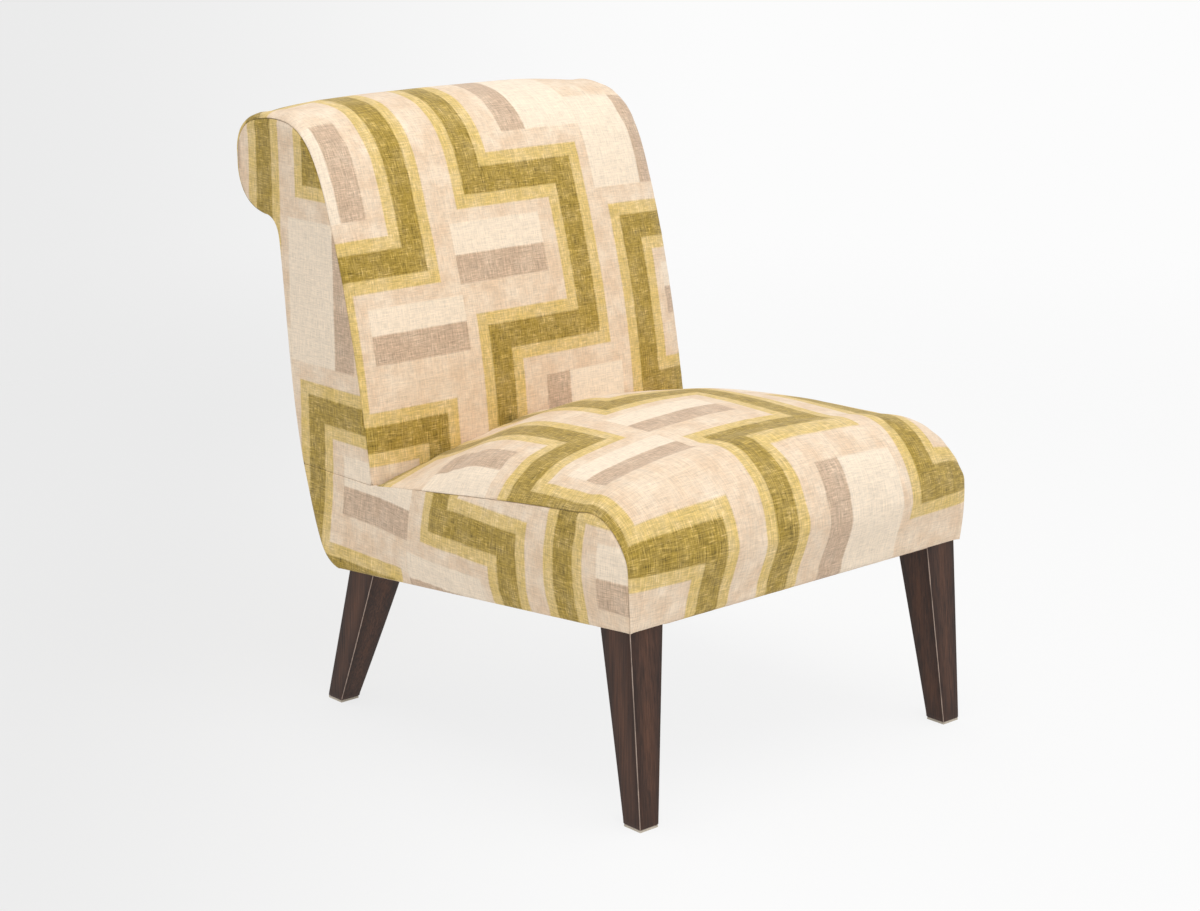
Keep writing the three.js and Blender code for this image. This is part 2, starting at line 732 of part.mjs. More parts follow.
function addSeatPadding(cutter) {
  const mass = seatMass();
  const upperRear = seat.depth + back.depth;
  const upper = mass.intersect(cutBox(seat.width, -seat.crownHeight, upperRear, foamBase, seat.depth));
  addMesh(chair, 'seat_foam', toGeometry(upper.subtract(cutter)), material.foam);
  const lipRear = timber.frontRailSetback - gap;
  const lip = mass.intersect(cutBox(seat.width, -seat.crownHeight, lipRear, 0, foamBase - gap));
  addMesh(chair, 'front_padding', toGeometry(lip), material.wadding);
  sides.forEach(({ name, sign }) => {
    const inner = boardOuter + gap;
    const skin = fabric.thickness + foam.clearance;
    const pointAt = (isOuter) => (row, column) => {
      const rowShare = row / divisions.sideAlong;
      const along = THREE.MathUtils.lerp(timber.frontRailSetback, boardFront - gap, rowShare);
      const upShare = column / divisions.sideUp;
      const place = boxPlace(along, upShare * (foamBase - gap));
      const runShare = along / bottomLength;
      const outer = sideSeamAt(place) + sideBulge(place, runShare, upShare * deck / seat.boxHeight) - skin;
      return [sign * (isOuter ? outer : inner), place.x, place.y];
    };
    const pad = thickSheet(divisions.sideAlong, divisions.sideUp, pointAt(true), pointAt(false));
    addMesh(chair, `${name}_seat_side_padding`, pad, material.wadding);
  });
}

function addBackPadding() {
  const width = () => boardOuter;
  const outer = (sample, xShare) => backCrownAt(sample, xShare) - fabric.thickness - gap;
  const inner = () => -foam.backThickness;
  addMesh(chair, 'back_foam', acrossChair(frontLine, width, outer, inner), material.foam);
  addMesh(chair, 'scroll_foam', acrossChair(startLater(scrollLine), width, outer, inner), material.foam);
  const rearOuter = () => -fabric.thickness - gap;
  const rearInner = () => gap - rearDepth;
  const rearPad = acrossChair(rearLine, width, rearOuter, rearInner);
  addMesh(chair, 'outside_back_padding', rearPad, material.wadding);
  const outline = backSideOutline(fabric.thickness + gap * 2, true);
  sides.forEach(({ name, sign }) => {
    const plate = sidePlate(outline, sign, boardOuter + gap, backHalf - fabric.thickness - gap);
    addMesh(chair, `${name}_back_side_padding`, plate, material.wadding);
  });
}

// Covers

function addSeatCovers(cutter) {
  const width = (place) => sideSeamAt(place) - fabric.thickness - fabric.clearance;
  const outer = (sample, xShare) => seatCrownAt(sample, xShare);
  const inner = (sample, xShare) => seatCrownAt(sample, xShare) - fabric.thickness;
  const cover = toSolid(acrossChair(seatLine, width, outer, inner)).subtract(cutter);
  addMesh(chair, 'seat_cover', toGeometry(cover), material.print);
  sides.forEach(({ name, sign }) => {
    const panel = seatSidePanel(sign);
    addMesh(chair, `${name}_seat_side_cover`, panel, material.print);
  });
}

// Side panel of the seat, stretched between its front face, top seam, rear edge and bottom edge
function seatSidePanel(sign) {
  const bottom = new THREE.LineCurve(boxPlace(0, 0), boxPlace(bottomLength, 0));
  const top = new THREE.CurvePath();
  const topRear = new THREE.Vector2(backCurve.rear.getPoint(1).x, crease.z);
  top.curves = [seatCurve.shoulder, seatCurve.top, new THREE.LineCurve(backPlace(0, 0), topRear)];
  const front = seatCurve.frontFace;
  const rear = new THREE.CurvePath();
  rear.curves = [backCurve.corner, backCurve.rearFoot].map((curve) => ({
    getLength: () => curve.getLength(),
    getPointAt: (share) => curve.getPointAt(1 - share),
  }));
  const cornersAt = [front.getPoint(0), boxPlace(bottomLength, 0), front.getPoint(1), topRear];
  const placeAt = (u, v) => {
    const place = new THREE.Vector2();
    place.addScaledVector(bottom.getPointAt(u), 1 - v).addScaledVector(top.getPointAt(u), v);
    place.addScaledVector(front.getPointAt(v), 1 - u).addScaledVector(rear.getPointAt(v), u);
    place.addScaledVector(cornersAt[0], -(1 - u) * (1 - v)).addScaledVector(cornersAt[1], -u * (1 - v));
    return place.addScaledVector(cornersAt[2], -(1 - u) * v).addScaledVector(cornersAt[3], -u * v);
  };
  const pointAt = (inset) => (row, column) => {
    const u = row / divisions.sideAlong;
    const v = column / divisions.sideUp;
    const place = placeAt(u, v);
    const x = sideSeamAt(place) + sideBulge(place, u, v) - inset;
    return [sign * x, place.x, place.y];
  };
  return thickSheet(divisions.sideAlong, divisions.sideUp, pointAt(0), pointAt(fabric.thickness));
}

function addBackCovers() {
  const width = () => backHalf - fabric.thickness - gap;
  const rearWidth = (place) => sideSeamAt(place) - fabric.thickness - fabric.clearance;
  const outer = (sample, xShare) => backCrownAt(sample, xShare);
  const inner = (sample, xShare) => backCrownAt(sample, xShare) - fabric.thickness;
  addMesh(chair, 'inside_back_cover', acrossChair(insideLine, width, outer, inner), material.print);
  const rearSamples = [...startLater(neckLine), ...rearLine.slice(1)];
  const flat = () => 0;
  const flatInner = () => -fabric.thickness;
  addMesh(chair, 'outside_back_cover', acrossChair(rearSamples, rearWidth, flat, flatInner), material.print);
  const outline = backSideOutline(0, false);
  sides.forEach(({ name, sign }) => {
    const plate = sidePlate(outline, sign, backHalf - fabric.thickness, backHalf);
    addMesh(chair, `${name}_back_side_cover`, plate, material.print);
  });
}

// Thin sheet under the seat, notched round the legs
function addDustCover() {
  const half = seatHalf - dustCover.inset;
  const legInner = seatHalf - leg.frontTop.inset - leg.frontTop.width - dustCover.clearance;
  const frontNotch = leg.frontTop.offset + leg.frontTop.width + dustCover.clearance;
  const rearNotch = seat.depth + leg.rearTop.offset - dustCover.clearance;
  const frontEdge = dustCover.inset;
  const rearEdge = railRear;
  const right = [
    [legInner, frontEdge], [legInner, frontNotch], [half, frontNotch],
    [half, rearNotch], [legInner, rearNotch], [legInner, rearEdge],
  ];
  const left = right.map(([x, y]) => [-x, y]).reverse();
  const shape = new THREE.Shape([...right, ...left].map(([x, y]) => new THREE.Vector2(x, y)));
  const sheet = new THREE.ExtrudeGeometry(shape, { depth: fabric.liningThickness, bevelEnabled: false });
  addMesh(seatBox, 'dust_cover', sheet.translate(0, 0, -gap - fabric.liningThickness), material.lining);
}

// Assembly

addSeatRails();
corners.forEach((corner) => {
  addCornerBlock(corner);
  addLegBolt(corner);
  addLeg(corner);
  addGlide(corner);
});
addSprings();
addInsulator();
addBackFrame();
addWebbing();
const seatCutter = backCutter();
addSeatPadding(seatCutter);
addBackPadding();
addSeatCovers(seatCutter);
addBackCovers();
addDustCover();

chair.updateMatrixWorld(true);
const bounds = new THREE.Box3().setFromObject(chair, true);
chair.position.y = -(bounds.min.y + bounds.max.y) / 2;

export default chair;
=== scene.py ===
import json
import math

import bmesh
import bpy
import numpy as np
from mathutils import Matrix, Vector, noise
from mathutils.geometry import delaunay_2d_cdt

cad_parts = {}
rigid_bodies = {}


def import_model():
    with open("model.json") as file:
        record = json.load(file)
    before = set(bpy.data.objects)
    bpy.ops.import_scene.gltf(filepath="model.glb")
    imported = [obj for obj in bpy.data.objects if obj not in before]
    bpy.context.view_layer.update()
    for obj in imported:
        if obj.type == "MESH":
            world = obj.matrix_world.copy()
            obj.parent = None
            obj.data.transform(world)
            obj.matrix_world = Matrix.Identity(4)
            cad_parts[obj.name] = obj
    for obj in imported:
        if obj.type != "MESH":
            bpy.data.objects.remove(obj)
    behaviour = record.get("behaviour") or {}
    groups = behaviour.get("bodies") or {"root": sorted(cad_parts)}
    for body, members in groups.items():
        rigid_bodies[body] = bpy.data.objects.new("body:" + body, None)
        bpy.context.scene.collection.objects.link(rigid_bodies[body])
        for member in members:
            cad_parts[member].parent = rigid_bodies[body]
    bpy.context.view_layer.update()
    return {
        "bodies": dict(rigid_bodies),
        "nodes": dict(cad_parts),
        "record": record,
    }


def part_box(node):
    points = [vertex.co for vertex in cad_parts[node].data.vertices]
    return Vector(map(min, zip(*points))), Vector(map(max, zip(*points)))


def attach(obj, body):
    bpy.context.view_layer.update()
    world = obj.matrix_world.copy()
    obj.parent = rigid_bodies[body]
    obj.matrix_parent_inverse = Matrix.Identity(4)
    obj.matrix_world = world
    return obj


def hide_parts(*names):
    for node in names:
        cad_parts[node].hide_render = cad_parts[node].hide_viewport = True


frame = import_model()
nodes = frame["nodes"]
scene = bpy.context.scene
mm = 0.001

for thing in list(bpy.data.objects):
    if thing.name not in nodes and thing not in frame["bodies"].values():
        bpy.data.objects.remove(thing)

# Sizes of the seat and back, in metres. Outlines are drawn in a (y, z) plane whose y is zero at
# the seat's front bottom edge, so toRow carries them to where the chair stands.

seat = {
    "width": 620 * mm,
    "depth": 543 * mm,
    "frontHeight": 261 * mm,  # of its bottom edge at the front
    "boxHeight": 137 * mm,  # from there to the highest part of the side seams
    "crownHeight": 83 * mm,
    "bulge": 13 * mm,  # how far the side panels swell beyond their seams
    "seamSwell": 4.5 * mm,  # how far the front seams do
    "bulgePower": 2.4,  # how square the swell is from seam to seam
    "fadeStart": 0.55,  # share of the bottom's length past which it fades
    "rearDrop": 50.1 * mm,  # how much lower the bottom is at the rear
    "bottomLength": 612 * mm,
    "taper": 200 * mm,  # the side seam draws in to the back's width over this length
    "corner": 60 * mm,  # the side panels start to swell over this one
    "glideAhead": 13.5 * mm,  # how far the front glides reach ahead of the seat's front edge
}
back = {"inset": 11 * mm, "depth": 300 * mm, "height": 484 * mm, "crownHeight": 24 * mm}

seatShares = {
    "frontFace": [(0, 0), (-0.005, 0.24), (0.001, 0.599)],
    "shoulder": [(0.001, 0.599), (0.003, 0.749), (0.085, 1.118), (0.17, 1)],
    "top": [(0.17, 1), (0.586, 0.839), (1, 0.562)],
}
backShares = {
    "tuck": [(-0.015, -0.06), (0, 0)],
    "front": [(0, 0), (0.06, 0.238), (0.15, 0.517), (0.263, 0.717)],
    "scrollFront": [(0.263, 0.717), (0.327, 0.831), (0.397, 0.975), (0.59, 1)],
    "scrollTop": [(0.59, 1), (0.714, 1.0145), (0.847, 0.996)],
    "scrollRear": [(0.847, 0.996), (0.947, 0.988), (1.01, 0.94), (1, 0.878)],
    "scrollUnder": [(1, 0.878), (1.01, 0.789), (0.93, 0.731), (0.773, 0.723)],
    "neck": [(0.773, 0.723), (0.69, 0.715), (0.68, 0.651)],
    "rear": [(0.68, 0.651), (0.64, 0.459), (0.627, 0.211), (0.537, 0)],
    "rearFoot": [(0.537, 0), (0.503, -0.068), (0.432, -0.152), (0.372, -0.211)],
}
cornerTurn = (0.314, -0.27)
crowns = {  # rise against the share of the way along the seam, and how full it is across
    "seatAlong": [0, 0.1, 0.2, 0.32, 0.5, 0.75, 1],
    "seatRise": [0, 0.25, 0.57, 0.68, 0.89, 1, 0.69],
    "backAlong": [0, 0.2, 0.45, 0.7, 0.86, 1],
    "backRise": [0.4, 0.8, 0.85, 1, 0.45, 0.05],
    "seatPower": 1.64, "seatFullness": 0.4,
    "creasePower": 1.3, "creaseFullness": 1, "creaseFrom": 0.65,
    "backPower": 3, "backFullness": 0.28,
}
sewing = {
    "pitch": 9 * mm,  # spacing of the cloth's points before they are subdivided
    "edge": [0, 0.4 * mm, 0.9 * mm, 2 * mm, 4.2 * mm, 8 * mm],  # closer together at each seam
    "radius": 0.85 * mm,  # how tightly the cloth turns into a seam
    "wrap": 3.5 * mm,  # how it turns under the seat, except right at a corner
    "creaseRadius": 8 * mm,
    "creaseGap": 0.3 * mm,
    "gap": 0.12 * mm,  # between the two cloths of a seam
    "clear": 0.62,  # least room inside the edge rows, in pitches
    "crowned": 10 * mm,  # past this rise the cloth turns fully into its side seams
    "pointed": 1.05,  # past this much stretch a corner of a side panel stays pointed
    "inset": 30 * mm,  # a side panel's inner face draws in over this length
}

seatHalf = seat["width"] / 2
backHalf = seatHalf - back["inset"]
slope = math.atan2(seat["rearDrop"], seat["depth"])
crease = (seat["depth"], seat["frontHeight"] + seat["boxHeight"] * seatShares["top"][-1][1])
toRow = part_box("front_right_glide")[0].y + seat["glideAhead"]


# Outlines

def smoothStep(value, low, high):
    share = np.clip((value - low) / (high - low), 0, 1)
    return share * share * (3 - 2 * share)


def unit(vectors):
    return vectors / np.linalg.norm(vectors, axis=-1, keepdims=True)


def lengthAlong(points):
    return np.concatenate([[0], np.cumsum(np.linalg.norm(np.diff(points, axis=0), axis=1))])


def bend(shares, origin, size, steps=60):
    t = np.linspace(0, 1, steps + 1)[:, None]
    points = [np.array(origin) + np.array(size) * np.array(share) for share in shares]
    while len(points) > 1:
        points = [(1 - t) * a + t * b for a, b in zip(points, points[1:])]
    return points[0]


def seatBend(name):
    return bend(seatShares[name], (0, seat["frontHeight"]), (seat["depth"], seat["boxHeight"]))


def backBend(name):
    return bend(backShares[name], crease, (back["depth"], back["height"]))


def bottomPoint(along):  # on the sloping bottom edge
    return np.array([along * math.cos(slope), seat["frontHeight"] - along * math.sin(slope)])


def chain(*curves):  # one line with its outward normals and the length along it
    place = np.vstack([curves[0]] + [curve[1:] for curve in curves[1:]])
    length = lengthAlong(place)
    ahead = unit(np.gradient(place, length, axis=0))
    return {"place": place, "out": np.stack([-ahead[:, 1], ahead[:, 0]], 1), "length": length}


def softTable(along, rise, share):  # smooth curve through a few given heights
    along, rise = np.array(along), np.array(rise)
    secants = np.diff(rise) / np.diff(along)
    slopes = np.concatenate([[0], (secants[:-1] + secants[1:]) / 2, [0]])
    at = np.clip(np.searchsorted(along, share, "right") - 1, 0, len(along) - 2)
    step = along[at + 1] - along[at]
    t = (share - along[at]) / step
    return (rise[at] * (2 * t**3 - 3 * t**2 + 1) + rise[at + 1] * (3 * t**2 - 2 * t**3)
            + step * (slopes[at] * (t**3 - 2 * t**2 + t) + slopes[at + 1] * (t**3 - t**2)))


def sideSeam(y, z):  # half the chair's width at its side seam
    rearward = smoothStep(y, seat["depth"] - seat["taper"], seat["depth"])
    upward = smoothStep(z, crease[1] - seat["boxHeight"], crease[1])
    up = np.clip((z - seat["frontHeight"]) / seat["boxHeight"], 0, 1)
    swell = seat["seamSwell"] * 4 * up * (1 - up) * (1 - smoothStep(y, seat["corner"], seat["taper"]))
    return seatHalf + swell - back["inset"] * rearward * upward


# the rounded corner between the back's foot and the bottom
cornerBend = bend([backShares["rearFoot"][-1], cornerTurn], crease, (back["depth"], back["height"]), 1)
cornerBend = bend([cornerBend[0], cornerBend[1], bottomPoint(seat["bottomLength"])], (0, 0), (1, 1))
seatLine = chain(seatBend("frontFace"), seatBend("shoulder"), seatBend("top"))
scrollNames = ["scrollFront", "scrollTop", "scrollRear", "scrollUnder"]
insideLine = chain(*[backBend(name) for name in ["tuck", "front", *scrollNames]])
frontLine = chain(backBend("tuck"), backBend("front"))
neckLine = chain(backBend("neck"))
rearLine = chain(backBend("rear"), backBend("rearFoot"), cornerBend)


def seatCrown(share, t):
    near = smoothStep(share, crowns["creaseFrom"], 1)
    power = crowns["seatPower"] + (crowns["creasePower"] - crowns["seatPower"]) * near
    full = crowns["seatFullness"] + (crowns["creaseFullness"] - crowns["seatFullness"]) * near
    rise = seat["crownHeight"] * softTable(crowns["seatAlong"], crowns["seatRise"], share)
    return rise * np.clip(1 - np.abs(t) ** power, 0, 1) ** full


def backCrown(share, t):
    rise = back["crownHeight"] * softTable(crowns["backAlong"], crowns["backRise"], share)
    return rise * np.clip(1 - np.abs(t) ** crowns["backPower"], 0, 1) ** crowns["backFullness"]


# Cloth panels: an outer face whose edges turn into the seams, and an inner face behind it

def spaced(total, count, edge):
    middle = edge[-1] + (total - 2 * edge[-1]) * np.linspace(0, 1, count + 1)
    return np.concatenate([edge[:-1], middle, total - np.array(edge[-2::-1])])


def respace(rows, count, edge):  # each row of points, spaced evenly along its own length
    made = []
    for row in rows:
        length = lengthAlong(row[:, :3])
        at = spaced(length[-1], count, edge)
        values = [np.interp(at, length, row[:, i]) for i in range(row.shape[1])]
        made.append(np.stack(values + [at, length[-1] - at], 1))
    return np.array(made)


def turnIn(distance, radius, turn):  # depth below the surface and shift away from the edge
    share = np.clip(1 - distance / radius, 0, 1)
    angle = turn * share
    depth = radius * (1 - np.cos(angle))
    shift = np.where(share > 0, radius - radius * np.sin(angle) - distance, 0)
    return depth, shift + sewing["gap"] * share


def acrossPanel(line, half, crown, thickness, start, end, cutAt=None):
    t = np.sin(np.linspace(-0.5, 0.5, 201) * math.pi)  # from seam to seam, closer near each
    share = line["length"] / line["length"][-1]
    rise = crown(share[:, None], t[None, :])
    y = line["place"][:, 0, None] + line["out"][:, 0, None] * rise
    z = line["place"][:, 1, None] + line["out"][:, 1, None] * rise
    seam = np.repeat(line["length"][:, None], len(t), 1)
    middle = crown(share[:, None], np.zeros((1, 1)))
    # the cloth turns 45 degrees into the seams at the sides, or 90 where it is crowned
    facing = math.pi / 4 * (1 + smoothStep(middle, 0, sewing["crowned"]))
    x = half(*line["place"].T)[:, None] * t
    grid = np.stack([x, y, z, seam, np.repeat(facing, len(t), 1)], 2)
    across = respace(grid, round(2 * seatHalf / sewing["pitch"]), sewing["edge"])
    columns = np.swapaxes(across, 0, 1)
    if cutAt:
        columns = [cutAt(column) for column in columns]
    count = round(line["length"][-1] / sewing["pitch"])
    full = np.swapaxes(respace(columns, count, sewing["edge"]), 0, 1)
    points, seam, facing = full[:, :, :3], full[:, :, 3], full[:, :, 4]
    fromLeft, fromRight, fromStart, fromEnd = (full[:, :, i] for i in (5, 6, 7, 8))
    side = np.minimum(fromLeft, fromRight)
    rightward, ahead = unit(np.gradient(points, axis=1)), unit(np.gradient(points, axis=0))
    normal = unit(np.cross(rightward, ahead))
    inward = np.where((fromLeft < fromRight)[:, :, None], rightward, -rightward)
    sideDepth, sideShift = turnIn(side, sewing["radius"], facing)
    startDepth, startShift = turnIn(fromStart, start, math.pi / 2)
    endDepth, endShift = turnIn(fromEnd, end, math.pi / 2)
    if start == sewing["wrap"]:
        nearCorner = np.clip(side / sewing["pitch"], 0, 1)
        startDepth, startShift = startDepth * nearCorner, startShift * nearCorner
    depth = np.maximum(np.maximum(sideDepth, startDepth), endDepth)
    outer = points - normal * depth[:, :, None] + inward * sideShift[:, :, None]
    outer += ahead * (startShift - endShift)[:, :, None]
    inset = thickness / np.tan(facing) * (1 - side / side.max(1)[:, None])
    inner = points - normal * thickness + inward * (inset + sewing["gap"])[:, :, None]
    edge = np.minimum(np.minimum(side, fromStart), fromEnd)
    u = (fromLeft - fromRight) / 2
    return {"outer": outer, "inner": inner, "normal": normal, "edge": edge, "u": u, "v": seam}


def gridMesh(name, panel):
    rows, columns = panel["edge"].shape
    count = rows * columns
    at = np.arange(count).reshape(rows, columns)
    quads = np.stack([at[:-1, :-1], at[:-1, 1:], at[1:, 1:], at[1:, :-1]], 2).reshape(-1, 4)
    rim = np.concatenate([at[0, :-1], at[:-1, -1], at[-1, :0:-1], at[:0:-1, 0]])
    walls = [(a, a + count, b + count, b) for a, b in zip(rim, np.roll(rim, -1))]
    faces = quads.tolist() + (quads[:, ::-1] + count).tolist() + walls
    verts = np.concatenate([panel["outer"].reshape(-1, 3), panel["inner"].reshape(-1, 3)])
    uv = np.stack([panel["u"].ravel(), panel["v"].ravel()], 1)
    return clothPiece(name, verts, faces, np.tile(uv, (2, 1)), panel["edge"].ravel(),
                      panel["normal"].reshape(-1, 3))


def addObject(name, data):
    made = bpy.data.objects.new(name, data)
    scene.collection.objects.link(made)
    return made


def clothPiece(name, verts, faces, uv, edge, normal):
    verts = np.array(verts) + [0, toRow, 0]
    mesh = bpy.data.meshes.new(name)
    mesh.from_pydata(verts.tolist(), [], [[int(i) for i in face] for face in faces])
    uvLayer = mesh.uv_layers.new(name="clothUV")
    corners = np.empty(len(mesh.loops), np.int32)
    mesh.loops.foreach_get("vertex_index", corners)
    uvLayer.data.foreach_set("uv", np.asarray(uv)[corners].astype(np.float32).ravel())
    seamGap = np.concatenate([edge, np.zeros(len(edge))]).astype(np.float32)
    mesh.attributes.new("seamGap", "FLOAT", "POINT").data.foreach_set("value", seamGap)
    bm = bmesh.new()
    bm.from_mesh(mesh)
    bmesh.ops.recalc_face_normals(bm, faces=bm.faces)
    bm.to_mesh(mesh)
    bm.free()
    mesh.shade_smooth()
    return addObject(name, mesh), np.asarray(normal), np.asarray(edge)


# Panels cut to a side outline: rings that follow the edge, and an even weave of points inside

def resampleEdge(points, pitch):
    length = lengthAlong(points)
    at = np.linspace(0, length[-1], max(round(length[-1] / pitch), 1) + 1)
    return np.stack([np.interp(at, length, points[:, i]) for i in (0, 1)], 1)


def edgeDistance(points, outline):
    a, b = outline, np.roll(outline, -1, 0)
    ab = b - a
    nearest = np.full(len(points), 1.0)
    for start, step in zip(a, ab):
        share = np.clip((points - start) @ step / max(step @ step, 1e-12), 0, 1)
        nearest = np.minimum(nearest, np.linalg.norm(points - start - share[:, None] * step, axis=1))
    return nearest


def insideOutline(points, outline):
    inside = np.zeros(len(points), bool)
    for (y1, z1), (y2, z2) in zip(outline, np.roll(outline, -1, 0)):
        if z1 != z2:
            crosses = (points[:, 1] < z1) != (points[:, 1] < z2)
            inside ^= crosses & (points[:, 0] < (y2 - y1) * (points[:, 1] - z1) / (z2 - z1) + y1)
    return inside


def sidePanel(name, sign, borders, reach, thickness):
    outline, turns, radii = [], [], []
    for points, turn, radius in borders:  # each border's last point starts the next one
        border = resampleEdge(points, sewing["pitch"])[:-1]
        share = np.linspace(0, 1, len(border) + 1)[:-1]
        outline.append(border)
        turns.append(turn[0] + (turn[1] - turn[0]) * share)
        radii.append(np.full(len(border), radius))
    outline, turns, radii = np.concatenate(outline), np.concatenate(turns), np.concatenate(radii)
    ahead = unit(np.roll(outline, -1, 0) - outline)
    normals = np.stack([-ahead[:, 1], ahead[:, 0]], 1)
    inward = unit(normals + np.roll(normals, 1, 0))
    stretch = 1 / np.clip((inward * normals).sum(1), 0.5, 1)
    inward *= stretch[:, None]
    steps = sewing["edge"][:-1]
    count, ringCount = len(outline), len(steps)
    rings = [outline + inward * step for step in steps]
    pitch = sewing["pitch"]
    low, high = outline.min(0), outline.max(0)
    ys, zs = np.arange(low[0], high[0], pitch), np.arange(low[1], high[1], pitch)
    lattice = np.stack(np.meshgrid(ys, zs), 2).reshape(-1, 2)
    lattice = lattice[insideOutline(lattice, outline)]
    lattice = lattice[edgeDistance(lattice, outline) > steps[-1] + pitch * sewing["clear"]]
    inputs = [Vector(p) for p in np.concatenate([rings[-1], lattice])]
    loop = [(i, (i + 1) % count) for i in range(count)]
    filled = delaunay_2d_cdt(inputs, loop, [], 1, 1e-6)
    innermost = (ringCount - 1) * count
    places = np.concatenate(rings + [lattice])
    faces = [[first + i, first + j, first + count + j, first + count + i]
             for first in range(0, innermost, count) for i, j in loop]
    faces += [[innermost + filled[3][i][0] for i in face] for face in filled[2]]
    distance = np.concatenate([np.repeat(steps, count), edgeDistance(lattice, outline)])
    turn = np.concatenate([np.tile(turns, ringCount), np.full(len(lattice), math.pi / 2)])
    radius = np.concatenate([np.tile(radii, ringCount), np.full(len(lattice), mm)])
    pull = np.concatenate([np.tile(inward, (ringCount, 1)), np.zeros((len(lattice), 2))])
    depth, shift = turnIn(distance, radius, turn)
    x = reach(places[:, 0], places[:, 1])
    outer = np.column_stack([sign * (x - depth), places + pull * shift[:, None]])
    inset = thickness / np.tan(turn) * np.clip(1 - distance / sewing["inset"], 0, 1) + sewing["gap"]
    inner = np.column_stack([sign * (x - thickness), places + pull * inset[:, None]])
    total = len(places)
    walls = [(i, i + total, j + total, j) for i, j in loop]
    faces = faces + [[i + total for i in reversed(face)] for face in faces] + walls
    normal = np.tile([sign, 0, 0], (total, 1))
    uv = places * [-sign, 1]
    made = clothPiece(name, np.concatenate([outer, inner]), faces, np.tile(uv, (2, 1)), distance, normal)
    sharp = np.zeros(total)  # corners that stay pointed when the panel is subdivided
    sharp[:ringCount * count] = np.tile(stretch > sewing["pointed"], ringCount)
    creases = made[0].data.attributes.new("crease_vert", "FLOAT", "POINT")
    creases.data.foreach_set("value", np.tile(sharp, 2).astype(np.float32))
    return made


# Fills a panel as its padding does: a short cloth simulation under pressure, held at the seams

stuffing = {
    "cloth": {
        "quality": 4, "mass": 0.3, "bending_stiffness": 0.4, "use_pressure": True,
        "uniform_pressure_force": 4,
        "shrink_min": -0.012,  # a little fullness, gathered at the seams
    },
    "frames": 20,
    "held": 3.2 * mm,  # the cloth is fixed this near its edge
    "free": (2 * mm, 22 * mm),  # and is let out more and more between these
    "wave": 1.1 * mm, "waveScale": 11,  # slow unevenness, about 90 mm across
}


def pointsOf(mesh):
    places = np.empty(len(mesh.vertices) * 3, np.float32)
    mesh.vertices.foreach_get("co", places)
    return places.reshape(-1, 3)


def stuff(made, swell, seed):  # swell is the furthest that a point may move
    piece, normal, edge = made
    half, mesh = len(edge), piece.data
    rest = pointsOf(mesh)
    free = smoothStep(edge, *stuffing["free"])[:, None]
    slack = rest.copy()
    slack[:half] -= normal * free * swell
    mesh.vertices.foreach_set("co", slack.ravel())
    held = piece.vertex_groups.new(name="held")
    pinned = np.concatenate([np.flatnonzero(edge < stuffing["held"]), np.arange(half, 2 * half)])
    held.add([int(i) for i in pinned], 1, "REPLACE")
    cloth = piece.modifiers.new("Cloth", "CLOTH")
    cloth.settings.vertex_group_mass = "held"
    for name, value in stuffing["cloth"].items():
        setattr(cloth.settings, name, value)
    cloth.settings.effector_weights.gravity = 0
    cloth.collision_settings.use_collision = False
    for step in range(1, stuffing["frames"] + 1):
        scene.frame_set(step)
    filled = pointsOf(piece.evaluated_get(bpy.context.evaluated_depsgraph_get()).data)
    piece.modifiers.remove(cloth)
    piece.vertex_groups.remove(held)
    scene.frame_set(1)
    moved = filled - slack
    size = np.linalg.norm(moved, axis=1)[:, None]
    moved *= np.minimum(1, swell / np.maximum(size, 1e-9))
    rest = slack + moved
    waves = [noise.noise(Vector(p) * stuffing["waveScale"] + Vector((seed, 0, 0))) for p in rest[:half]]
    rest[:half] += normal * free * (np.array(waves) * stuffing["wave"])[:, None]
    mesh.vertices.foreach_set("co", rest.ravel())
    mesh.update()
    smooth = piece.modifiers.new("Subdivision", "SUBSURF")
    smooth.levels = smooth.render_levels = 1
    smooth.boundary_smooth = "PRESERVE_CORNERS"
    print(piece.name, "stuffed,", len(mesh.vertices), "points")
    return piece


# Materials

def toLinear(hexColour):
    channels = [int(hexColour[i:i + 2], 16) / 255 for i in (1, 3, 5)]
    return [c / 12.92 if c <= 0.04045 else ((c + 0.055) / 1.055) ** 2.4 for c in channels] + [1]


# Sockets are given by name or in order, and a node given to one joins by its first output
def addNode(tree, kind, sockets=(), **settings):
    node = tree.nodes.new(kind)
    for name, value in settings.items():
        setattr(node, name, value)
    for name, value in (sockets.items() if isinstance(sockets, dict) else enumerate(sockets)):
        if isinstance(value, bpy.types.Node):
            value = value.outputs[0]
        if isinstance(value, bpy.types.NodeSocket):
            tree.links.new(value, node.inputs[name])
        else:
            node.inputs[name].default_value = value
    return node


def newMaterial(name, surface):
    material = bpy.data.materials.new(name)
    material.use_nodes = True
    tree = material.node_tree
    tree.nodes.clear()
    shader = addNode(tree, "ShaderNodeBsdfPrincipled", surface)
    addNode(tree, "ShaderNodeOutputMaterial", {"Surface": shader})
    return material, tree, shader


def joinSurface(tree, shader, colour, height, depth, strength):  # joins the colour and bump
    bump = addNode(tree, "ShaderNodeBump", {"Height": height, "Distance": depth, "Strength": strength})
    tree.links.new(colour, shader.inputs["Base Color"])
    tree.links.new(bump.outputs[0], shader.inputs["Normal"])


